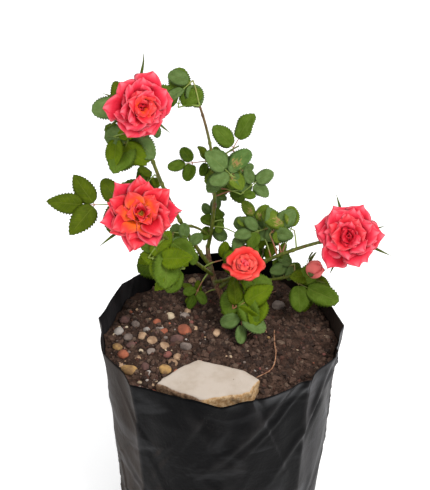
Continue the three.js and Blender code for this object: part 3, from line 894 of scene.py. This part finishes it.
def blade_blank(across, along):
    """A closed flat blank, 2 wide and 2 long: two grids welded round the edge, a unit apart in
    the middle, and drawn together at both ends."""
    blank = bmesh.new()
    for side in (1, -1):
        grid = bmesh.ops.create_grid(blank, x_segments=across, y_segments=along, size=1)
        for vert in grid["verts"]:
            x, y = vert.co.x, vert.co.y
            vert.co.z = side * (1 - x ** 4) * (1 - y ** 8)
        if side < 0:
            under = list({face for vert in grid["verts"] for face in vert.link_faces})
            bmesh.ops.reverse_faces(blank, faces=under)
    bmesh.ops.remove_doubles(blank, verts=blank.verts, dist=1e-4)
    for end in (-1, 1):
        row = [vert for vert in blank.verts if abs(vert.co.y - end) < 1e-4]
        bmesh.ops.pointmerge(blank, verts=row, merge_co=(0, end, 0))
    blank.normal_update()
    return blank


class Blades(Heap):
    """A heap of bent flat blanks. Its map "blade" runs from 0 to 1 across and along the upper
    side, and one further across for the underside."""

    def mesh(self, name):
        mesh = super().mesh(name)
        flat = np.concatenate([self.corners[face, :2] for face in self.faces]) / 2 + 0.5
        under = np.concatenate([[not up] * len(face) for up, face in zip(self.upper, self.faces)])
        pattern = flat + under[:, None] * [1, 0]
        blade_map = mesh.uv_layers.new(name="blade")
        blade_map.uv.foreach_set("vector", np.tile(pattern, (len(self.places), 1)).ravel())
        looks = np.array(self.looks)
        cells = math.ceil(math.sqrt(2 * (looks.max() + 1)))
        number = (2 * looks[:, None] + under[None, :]).ravel()
        corner = np.stack([number % cells, number // cells], axis=1)
        inside = 0.02 + 0.96 * np.tile(flat, (len(self.places), 1))
        sheet = mesh.uv_layers.new(name="OFBake")
        sheet.uv.foreach_set("vector", ((corner + inside) / cells).ravel())
        return mesh


def leaf_finish(name, colour, patch_colour, under_colour):
    """A leaf's skin: sunk pale veins on its upper side, raised ones and a dull skin below."""
    leaf = Finish("leaf_" + name, Specular_IOR_Level=0.08)
    spread = leaf.node("ShaderNodeUVMap", {"uv_map": "blade"})
    across = leaf.split(spread, 0)
    along = leaf.split(spread, 1)
    below = (across - 0.999).between(0, 0.002)
    aside = abs(across % 1.0 - 0.5) * 2
    rib = 1 - aside.between(0.02, 0.07)
    beat = abs((along - 0.2 * aside) * 8 % 1.0 - 0.5)
    side_veins = (1 - beat.between(0.03, 0.11)) * (1 - aside.between(0.75, 1.0))
    net = leaf.node("ShaderNodeTexVoronoi", {"feature": "DISTANCE_TO_EDGE"},
                    {"Vector": leaf.stretched(spread, (1, 1.7, 1)), "Scale": 15})
    fine_veins = 1 - net.between(0.0, 0.05)
    veins = rib.math("MAXIMUM", rib, 0.7 * side_veins)
    patch = leaf.cloud(spread, 3.2, detail=3).between(0.35, 0.66)
    upper = leaf.mixed(patch, colour, patch_colour)
    pale = tuple(0.45 * part + 0.55 * other for part, other in zip(under_colour, srgb(150, 160, 60)))
    upper = leaf.mixed(0.2 * veins + 0.05 * fine_veins, upper, pale)
    if name in ("spotted", "blotched"):
        scorch = leaf.cloud(leaf.stretched(spread, (1, 0.6, 1)), 9, detail=5, roughness=0.7)
        scorch = scorch + 0.16 * (1 - abs(along - 0.3) * 4) + 0.1 * (1 - 2 * aside)
        upper = leaf.mixed(0.8 * scorch.between(0.6, 0.7), upper, srgb(150, 146, 76))
        upper = leaf.mixed(scorch.between(0.68, 0.76), upper, srgb(158, 118, 82))
    leaf.wear(
        Base_Color=leaf.mixed(below, upper, leaf.mixed(0.3 * veins, under_colour, srgb(136, 152, 88))),
        Roughness=0.5 + 0.2 * below + 0.1 * patch,
        Normal=leaf.relief((1 - 1.6 * below) * (0.0 - veins - 0.25 * fine_veins), 0.35 * MM),
    )
    return leaf


def leaf_bend(corners, base, tip, facing, dice, slim, pointed):
    """A blank bent into one leaflet from its base to its tip, slim times as wide as it is long.
    A pointed one ends in a point, if it is large enough, and the others are blunt."""
    v = corners[:, 0]
    u = corners[:, 1] / 2 + 0.5
    reach = tip - base
    length = reach.length
    half = slim * length / 2
    grown = min(1.0, max(0.0, (length / MM - 14) / 9))
    foot_power = 0.5
    tip_power = dice.uniform(0.5, 0.66) + (0.3 if pointed else 0.06) * grown
    widest = foot_power / (foot_power + tip_power)
    outline = (u / widest) ** foot_power * ((1 - u) / (1 - widest)) ** tip_power
    rows = len(np.unique(np.round(u, 3))) - 1
    teeth = np.abs((u * rows / 2) % 1 - 0.5) * 2
    edge = np.abs(v) ** 6
    x = v * half * outline * (1 + edge * 0.14 * (teeth - 0.5))
    y = (u + edge * 0.014 * (teeth - 0.5)) * length
    fold = dice.uniform(0.18, 0.55)
    arch = dice.uniform(0.1, 0.4)
    bend = dice.uniform(0.1, 0.6)
    wave = dice.uniform(-0.06, 0.06)
    quilt = 0.01 * np.sin(2 * math.pi * 8 * (u - 0.1 * np.abs(v))) * np.abs(v) * (1 - v ** 2)
    rise = (fold * np.abs(x) - arch * x ** 2 / half
            + (wave * np.sin(9 * u + 140 * wave) * v ** 2 + quilt) * length)
    rise = rise + corners[:, 2] * 0.16 * MM
    turn = bend * (u - 0.5)
    straight = length / (2 * math.sin(bend / 2))
    along = straight * (np.sin(turn) + math.sin(bend / 2)) + (y - u * length) + rise * np.sin(turn)
    up = rise * np.cos(turn) + straight * (np.cos(turn) - math.cos(bend / 2))
    forward = reach.normalized()
    normal = (facing - facing.dot(forward) * forward).normalized()
    normal = Matrix.Rotation(dice.gauss(0, 0.24), 3, forward) @ normal
    aside = forward.cross(normal)
    return np.array(base) + (
        x[:, None] * np.array(aside) + along[:, None] * np.array(forward) + up[:, None] * np.array(normal))


leaf_skins = [leaf_finish(name, *colours) for name, colours in TINTS.items()]
leaves = {part: Blades(blade_blank(6, TOOTH_ROWS)) for part in ("upper", "middle", "lower")}
leaves["back"] = Blades(blade_blank(4, TOOTH_ROWS // 2))
leaf_nodes = {part: [] for part in leaves}
stalks = Heap(rod(6, 8))


def stalk(start, end, thick, thin, sag=0.08):
    """One thin stalk, arched a little between its two ends."""
    middle = (start + end) / 2 + Vector((0, 0, sag * (end - start).length))
    share = stalks.corners[:, 2] + 0.5
    route = smooth_route([start, middle, end], (end - start).length / 8)
    stalks.add(threaded(stalks.corners, route, (thick + (thin - thick) * share) * MM))


def plane_step(turn, across, up):
    """A step in the leaves' own plane, which faces the light."""
    return Vector((across * math.cos(turn), 0, 0)) + LEAF_RISE * (up * math.sin(turn))


def nearest_on_canes(place):
    return min((point for route in cane_routes.values() for point in route),
               key=lambda point: (point - place).length)


PAIR_TURN = 0.95       # the turn from a leaf's stalk to a pair of leaflets, in radians
PAIR_OPENS = 0.12      # how much wider each pair turns than the one before it
PAIR_GAP = 0.55        # from one pair to the next, in lengths of the end leaflet
PAIR_SHORTER = 0.14    # how much each pair falls short of the end leaflet
AIM_SPREAD = 0.12      # the spread of a leaf's and a leaflet's aim, in radians
ODD_SHADES = 0.16      # the share of leaflets a shade off their spray
POINTED_WIDTH = (0.56, 0.7)    # in lengths of the leaflet
BLUNT_WIDTH = (0.64, 0.84)
EDGE_REACH = 1.08      # how far the end leaflets reach, against the mass in the frame
LEAF_CLEAR = 3 * MM    # above the soil
LEAF_LAYER = 3         # between a mass's leaves, towards the light, in millimetres


def grow_leaf(heap, fork, turn, leaflets, longest, tint, dice):
    """One leaf: its stalk leaves the nearest cane and runs on between pairs of leaflets to the
    last one. Each pair is a little shorter than the one before it."""
    ahead = plane_step(turn, 1, 1).normalized()
    pairs = leaflets // 2
    foot = fork - ahead * PAIR_GAP * longest * max(0.4, pairs - 0.4)
    root = nearest_on_canes(foot)
    stalk(root, foot, 0.7, 0.5)
    stalk(foot, fork, 0.5, 0.35, 0.0)
    for number in range(leaflets):
        pair = (number + 1) // 2
        side = 1 if number % 2 else -1
        aim = turn + dice.gauss(0, AIM_SPREAD)
        if pair:
            aim += side * (PAIR_TURN + PAIR_OPENS * pair)
        length = longest * (1 - PAIR_SHORTER * pair) * dice.uniform(0.86, 1.06)
        way = (plane_step(aim, 1, 1) + LIGHT_SIDE * dice.gauss(0.05, 0.18)).normalized()
        on_stalk = fork - ahead * PAIR_GAP * longest * max(0, pair - 0.6)
        stub = on_stalk + way * min(1.6 * MM, 0.1 * length)
        tip = on_stalk + way * length
        tip.z = max(tip.z, SOIL_TOP + LEAF_CLEAR)
        stalk(on_stalk, stub, 0.4, 0.32, 0.0)
        shade = TINT_ORDER.index(tint)
        if dice.random() < ODD_SHADES and shade < len(PLAIN_TINTS):
            shade = max(0, min(len(PLAIN_TINTS) - 1, shade + dice.choice((-1, 1))))
        pointed = tint in POINTED_TINTS
        slim = dice.uniform(*(POINTED_WIDTH if pointed else BLUNT_WIDTH))
        heap.add(leaf_bend(heap.corners, stub, tip, LIGHT_SIDE, dice, slim, pointed), shade)


def grow_mass(heap, node, count, leaflets, longest, fan, tints, dice):
    """Leaves fan out through a mass, away from the cane that carries it. Each one's end leaflet
    reaches the edge of the mass."""
    low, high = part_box(node)
    core = (low + high) / 2
    half_width = (high.x - low.x) / 2
    half_rise = math.hypot(high.y - low.y, high.z - low.z) / 2
    away = core - nearest_on_canes(core)
    bearing = math.atan2(away.dot(LEAF_RISE), away.x)
    for number in range(count):
        place_in_fan = number / (count - 1) - 0.5 if count > 1 else 0
        turn = bearing + fan * place_in_fan + dice.gauss(0, AIM_SPREAD)
        length = longest * dice.uniform(0.88, 1)
        edge = core + plane_step(turn, half_width, half_rise) * EDGE_REACH
        fork = edge - plane_step(turn, 1, 1).normalized() * length
        fork += LIGHT_SIDE * (number - (count - 1) / 2) * LEAF_LAYER * MM
        fork.z = max(fork.z, SOIL_TOP + 2 * LEAF_CLEAR)
        grow_leaf(heap, fork, turn, leaflets, length, tints[number % len(tints)], dice)


MASSES = {           # part of the bush, leaves, leaflets, longest in mm, fan in radians, tints
    "foliage_top_left": ("upper", 2, 3, 24, 1.3, ("olive", "cool")),
    "foliage_top_right": ("upper", 2, 3, 25, 2.4, ("green", "cool")),
    "foliage_left_wing": ("upper", 1, 5, 36, 0, ("olive",)),
    "foliage_left_middle": ("upper", 4, 3, 28, 5.0, ("young_and_backlit", "green", "cool", "young_and_backlit")),
    "foliage_left_low": ("upper", 3, 3, 31, 3.4, ("young_and_backlit", "green", "young_and_backlit")),
    "foliage_left_hanging": ("middle", 2, 3, 28, 1.4, ("green", "young_and_backlit")),
    "foliage_left_inner": ("middle", 3, 3, 17, 4.0, ("green", "cool", "green")),
    "foliage_centre_left": ("middle", 1, 7, 19, 0, ("deep",)),
    "foliage_centre": ("middle", 4, 3, 24, 5.0, ("cool", "spotted", "blotched", "cool")),
    "foliage_centre_right": ("middle", 2, 5, 18, 1.4, ("cool", "cool")),
    "foliage_right_sprig": ("middle", 1, 2, 29, 0, ("green",)),
    "foliage_right": ("middle", 3, 5, 20, 3.0, ("cool", "spotted", "cool")),
    "foliage_right_outer": ("middle", 2, 3, 24, 1.8, ("cool", "spotted")),
    "foliage_centre_low": ("middle", 3, 3, 16, 4.0, ("green", "cool", "green")),
    "foliage_centre_front": ("middle", 4, 3, 22, 4.4, ("young_and_backlit", "cool", "green", "young_and_backlit")),
    "foliage_right_low": ("lower", 3, 3, 18, 4.0, ("cool", "green", "cool")),
    "foliage_front": ("lower", 3, 3, 32, 3.2, ("young_and_backlit", "green", "young_and_backlit")),
    "foliage_front_low": ("lower", 1, 3, 25, 0, ("cool",)),
    "foliage_bud": ("lower", 2, 3, 30, 1.5, ("olive", "green")),
    "foliage_low_left": ("lower", 2, 3, 16, 1.8, ("olive", "green")),
    "foliage_back_top": ("back", 2, 5, 18, 2.0, ("green", "cool")),
    "foliage_back_left": ("back", 3, 5, 19, 2.6, ("deep", "green", "olive")),
    "foliage_back_centre": ("back", 3, 5, 19, 3.4, ("green", "cool", "deep")),
    "foliage_back_right": ("back", 3, 5, 19, 3.4, ("deep", "green", "young_and_backlit")),
    "foliage_back_low_left": ("back", 3, 5, 18, 3.0, ("green", "olive", "deep")),
}
for seed, (node, (part, count, leaflets, longest, fan, tints)) in enumerate(MASSES.items()):
    dice = random.Random(seed)
    grow_mass(leaves[part], node, count, leaflets, longest * MM, fan, tints, dice)
    leaf_nodes[part].append(node)

for part, heap in leaves.items():
    dressed(heap.mesh("leaves_" + part), leaf_skins, "leaf", *leaf_nodes[part])

stalk_finish = Finish("leaf_stalk", Roughness=0.5)
stalk_place = stalk_finish.place()
reddish = stalk_finish.cloud(stalk_place, 40, detail=2).between(0.48, 0.62)
stalk_finish.wear(
    Base_Color=stalk_finish.mixed(reddish, srgb(122, 142, 58), srgb(146, 92, 62)),
    Normal=stalk_finish.relief(stalk_finish.cloud(stalk_place, 1500), 0.1 * MM),
)
dressed(stalks.mesh("leaf_stalks"), [stalk_finish], "green_cane")

# ---- Blooms ----
# Each bloom is double. Its petals stand in rows one inside the other: the outer ones lie open
# with their tips rolled back to points, and the inner ones stand up and curl in.
# A row gives its count, the petals' length and half width in radii, their lean at the foot and
# at the tip and the roll of the tip in degrees, and the radius that a petal wraps round.
FULL_ROWS = [
    (6, 1.14, 0.46, 50, 90, 40, 1.4),
    (7, 1.04, 0.42, 38, 80, 46, 1.1),
    (8, 0.94, 0.38, 28, 68, 50, 0.9),
    (8, 0.84, 0.34, 18, 54, 54, 0.6),
    (8, 0.76, 0.30, 10, 40, 56, 0.45),
    (7, 0.66, 0.26, 4, 26, 50, 0.34),
    (6, 0.50, 0.22, -4, 12, 40, 0.22),
    (5, 0.38, 0.16, -8, 6, 26, 0.14),
]
STAR_ROWS = [
    (6, 1.08, 0.38, 58, 92, 12, 0.9),
    (6, 1.05, 0.36, 48, 86, 14, 0.8),
    (7, 1.00, 0.34, 40, 78, 18, 0.7),
    (7, 0.86, 0.30, 32, 68, 22, 0.6),
    (7, 0.70, 0.25, 24, 58, 26, 0.5),
    (6, 0.52, 0.20, 14, 46, 30, 0.4),
    (6, 0.36, 0.15, 4, 30, 20, 0.25),
]
CUP_ROWS = [
    (4, 1.42, 0.92, 30, 54, 96, 1.3),
    (4, 1.12, 0.84, 18, 26, 60, 0.8),
    (4, 1.12, 0.70, 8, 8, 34, 0.55),
    (4, 1.04, 0.54, 2, -2, 20, 0.42),
    (4, 0.98, 0.40, -3, -8, 12, 0.30),
    (4, 0.92, 0.30, -5, -12, 10, 0.20),
    (3, 0.84, 0.20, -5, -12, 8, 0.12),
]
BUD_ROWS = [
    (3, 2.85, 1.45, 88, -86, 0, 0.95),
    (3, 2.72, 1.30, 84, -84, 0, 0.86),
    (2, 2.50, 1.00, 72, -74, 0, 0.60),
]
SEPAL_SHAPE = (0.045, 78, 88, 40, 1.2)        # a row's last five values, for every sepal
BUD_SEPAL_SHAPE = (0.34, 70, 10, 30, 0.8)
PETAL_THICK = 0.11 * MM
OPEN_BACK = (0.44, 0.5, 0.52)  # petals, sepals and hip behind the middle of a bloom, in radii
BUD_BACK = (1.0, 1.05, 1.0)
BLOOMS = {           # rows, start, sharpness, unrest, skins from the outer row in, seed, slot
    "bloom_upper_left": (FULL_ROWS, 0, 1.9, 1.3, (0, 0, 0, 1, 3, 1, 2, 2), 3, "coral_petal"),
    "bloom_lower_left": (STAR_ROWS, 0, 1.25, 1.2, (0, 1, 1, 3, 3, 1, 3), 8, "coral_petal"),
    "bloom_right": (FULL_ROWS, 0, 1.5, 1.05, (0, 0, 0, 1, 0, 2, 2, 2), 14, "coral_petal"),
    "bloom_front": (CUP_ROWS, 38, 1.7, 0.6, (4, 4, 4, 1, 0, 2, 2), 21, "salmon_petal"),
    "flower_bud": (BUD_ROWS, 0, 2.0, 0.15, (5, 5, 2), 27, "coral_petal"),
}
SEPALS = {           # the way each one points, in degrees round its bloom, and its length in radii
    "bloom_upper_left": [(-116, 1.3), (-47, 1.34), (-154, 1.2), (76, 1.62), (152, 1.15)],
    "bloom_lower_left": [(-146, 1.48), (-70, 1.1), (0, 1.1), (75, 1.1), (140, 1.1)],
    "bloom_right": [(114, 1.36), (-18, 1.34), (-109, 1.34), (23, 1.14), (178, 1.1)],
    "bloom_front": [(-60, 1.1), (10, 1.1), (80, 1.1), (150, 1.2), (-130, 1.1)],
    "flower_bud": [(96, 3.2), (52, 2.5), (-40, 2.2), (-110, 2.4), (176, 2.2)],
}


def petal_finish(name, claw, middle, edge, under):
    """A petal's skin: its claw, deep in the bloom and darkened also as painted shade in the crevices, its
    middle with fine streaks along it, its edge, paler also as a painted highlight, and its back.
    """
    petal = Finish("petal_" + name, Roughness=0.6, Specular_IOR_Level=0.06)
    spread = petal.node("ShaderNodeUVMap", {"uv_map": "blade"})
    across = petal.split(spread, 0)
    along = petal.split(spread, 1)
    below = (across - 0.999).between(0, 0.002)
    streak = petal.cloud(petal.stretched(spread, (34, 2.4, 1)), 1.0, detail=5)
    patch = petal.cloud(spread, 3.5, detail=4)
    # Painted shade: the petal darkens towards its claw, down in the crevices between petals.
    body = petal.mixed((along + 0.35 * (patch - 0.5)).between(0.42, 0.84), claw, middle)
    aside = abs(across % 1.0 - 0.5) * 2
    # The edges and tip are paler: partly the petal's own paler margin, partly a painted highlight where the
    # rolled edges catch the light.
    rim = along.math("MAXIMUM", aside.between(0.6, 1.0), along.between(0.72, 0.96))
    body = petal.mixed(0.7 * rim * patch.between(0.3, 0.6), body, edge)
    body = petal.mixed(0.3 * streak.between(0.45, 0.7), body, claw)
    body = petal.mixed(0.85 * below, body, under)
    return petal.wear(
        Base_Color=body,
        Normal=petal.relief(streak + 0.6 * patch, 0.3 * MM),
    )


def set_back(bloom):
    """How far the petals, the sepals and the hip stand behind a bloom's middle, in radii."""
    return BUD_BACK if bloom == "flower_bud" else OPEN_BACK


def round_about(faces):
    """The ways to the right and to the top, for a bloom that faces one way."""
    right = Vector((0, 0, 1)).cross(faces).normalized()
    return right, faces.cross(right)


def petal_outline(u, sharp):
    """Half the width at each share of the length, 1 at the widest."""
    widest = 0.62
    wedge = (np.clip(u, 0, widest) / widest) ** 0.72
    return np.where(u < widest, wedge, 1 - np.clip((u - widest) / (1 - widest), 0, 1) ** sharp)


def petal_bend(corners, middle, faces, radius, turn, row, sharp, dice, unrest, back):
    """A flat blank bent into one petal. It stands back behind the middle, in radii."""
    _, length, half, foot, tip, roll, wrap = row
    right, top = round_about(faces)
    outward = np.array(right * math.cos(turn) + top * math.sin(turn))
    sideways = np.array(top * math.cos(turn) - right * math.sin(turn))
    ahead = np.array(faces)
    u = corners[:, 1] / 2 + 0.5
    steps = np.linspace(0, 1, 33)
    lean = foot + (tip - foot) * steps + roll * np.clip((steps - 0.7) / 0.3, 0, 1) ** 1.4
    lean = np.radians(lean + unrest * dice.gauss(0, 6))
    hop = length * (1 - unrest * dice.uniform(-0.06, 0.1)) * radius / 32
    reach = np.interp(u, steps, 0.05 * radius + np.cumsum(np.sin(lean)) * hop)
    rise = np.interp(u, steps, -back * radius + np.cumsum(np.cos(lean)) * hop)
    tilt = np.interp(u, steps, lean)[:, None]
    inward = ahead * np.sin(tilt) - outward * np.cos(tilt)
    x = corners[:, 0] * half * petal_outline(u, sharp)
    curl = min(0.5, unrest) * half * np.abs(corners[:, 0]) ** 3 * np.clip((u - 0.35) / 0.65, 0, 1)
    wave = unrest * dice.uniform(0.05, 0.12) * np.sin(8 * u + dice.uniform(0, 6) + 3 * corners[:, 0])
    twist = unrest * dice.gauss(0, 0.22) * x * np.clip(u * 2, 0, 1)
    lift = wrap * (1 - np.cos(x / wrap)) - curl + wave * corners[:, 0] ** 2 + twist
    lift = lift * radius + corners[:, 2] * PETAL_THICK
    spread = wrap * np.sin(x / wrap) * radius
    return (np.array(middle) + reach[:, None] * outward + rise[:, None] * ahead
            + spread[:, None] * sideways + lift[:, None] * inward)


petal_skins = [
    petal_finish("pink", srgb(168, 0, 22), srgb(220, 46, 68), srgb(250, 128, 140), srgb(230, 88, 104)),
    petal_finish("coral", srgb(162, 0, 16), srgb(218, 42, 56), srgb(248, 116, 122), srgb(226, 74, 84)),
    # The red skin, worn by the innermost rows, is deeper partly as the bloom's own colour and partly as
    # painted shade deep inside the bloom.
    petal_finish("red", srgb(122, 0, 12), srgb(188, 10, 32), srgb(226, 68, 84), srgb(208, 38, 56)),
    petal_finish("sunny", srgb(240, 110, 32), srgb(222, 46, 52), srgb(242, 96, 98), srgb(228, 74, 76)),
    petal_finish("salmon", srgb(200, 34, 34), srgb(222, 58, 54), srgb(248, 114, 102), srgb(238, 90, 82)),
    petal_finish("rose", srgb(226, 104, 100), srgb(238, 92, 98), srgb(246, 88, 98), srgb(238, 122, 116)),
]
sepal_skin = petal_finish("sepal", srgb(74, 88, 32), srgb(82, 96, 36), srgb(100, 108, 48), srgb(110, 126, 74))
sepals = Blades(blade_blank(4, 12))
for name, (rows, start, sharp, unrest, skins, seed, slot) in BLOOMS.items():
    petal_dice = random.Random(seed)
    petals = Blades(blade_blank(12, 16))
    middle, faces, radius = heart(name), BLOOM_FACES[name], BLOOM_RADIUS[name]
    petals_back, sepals_back, _ = set_back(name)
    for number, (row, skin) in enumerate(zip(rows, skins)):
        for petal in range(row[0]):
            turn = 2 * math.pi * (petal + 0.47 * number) / row[0] + petal_dice.gauss(0, 0.13)
            turn += math.radians(start)
            petals.add(petal_bend(petals.corners, middle, faces, radius, turn, row, sharp, petal_dice,
                                  unrest, petals_back), skin)
    dressed(petals.mesh(name + "_petals"), petal_skins, slot, name)
    for angle, length in SEPALS[name]:
        row = (1, length, *(BUD_SEPAL_SHAPE if name == "flower_bud" else SEPAL_SHAPE))
        turn = math.radians(angle)
        sepals.add(petal_bend(sepals.corners, middle, faces, radius, turn, row, 1.0, petal_dice,
                              0.5, sepals_back))
dressed(sepals.mesh("sepals"), [sepal_skin], "leaf")

# ---- Hips and stamens ----
# A green hip swells under each bloom where its stalk ends. The most open bloom shows the ring
# of yellow stamens in its middle.
hip_skin = earthy("green_hip", srgb(98, 122, 52), srgb(126, 142, 74), 240, 0.1 * MM)
hips = Heap(ball(3))
for name, faces in BLOOM_FACES.items():
    girth = min(3.4 * MM, 0.34 * BLOOM_RADIUS[name])
    middle = heart(name) - set_back(name)[2] * BLOOM_RADIUS[name] * faces
    upright = np.array(faces.to_track_quat("Z", "Y").to_matrix())
    hips.add(hips.corners * [girth, girth, 1.35 * girth] @ upright.T + np.array(middle))
dressed(hips.mesh("hips"), [hip_skin], "green_cane")

STAMENS = 46
stamen_dice = random.Random(61)
filament_skin = earthy("filament", srgb(190, 160, 60), srgb(150, 140, 50), 900, 0.05 * MM)
anther_skin = earthy("anther", srgb(196, 150, 44), srgb(120, 96, 40), 1500, 0.1 * MM)
filaments = Heap(rod(5, 4))
anthers = Heap(ball(1))
for name in ("bloom_lower_left", "bloom_right", "bloom_upper_left"):
    faces = BLOOM_FACES[name]
    foot = heart(name) - 0.42 * BLOOM_RADIUS[name] * faces
    right, top = round_about(faces)
    for _ in range(STAMENS):
        turn = stamen_dice.uniform(0, 2 * math.pi)
        lean = stamen_dice.uniform(0.05, 0.5)
        way = faces + (right * math.cos(turn) + top * math.sin(turn)) * lean
        tip = foot + way.normalized() * stamen_dice.uniform(4.5, 6.5) * MM
        bowed = smooth_route([foot + way * 0.5 * MM, (foot + tip) / 2 + way * 0.4 * MM, tip], 1 * MM)
        filaments.add(threaded(filaments.corners, bowed, 0.13 * MM))
        anthers.add(anthers.corners * np.array([0.45, 0.3, 0.6]) * MM @ turned_any_way(stamen_dice)
                    + np.array(tip))
dressed(filaments.mesh("filaments"), [filament_skin], "coral_petal")
dressed(anthers.mesh("anthers"), [anther_skin], "coral_petal")
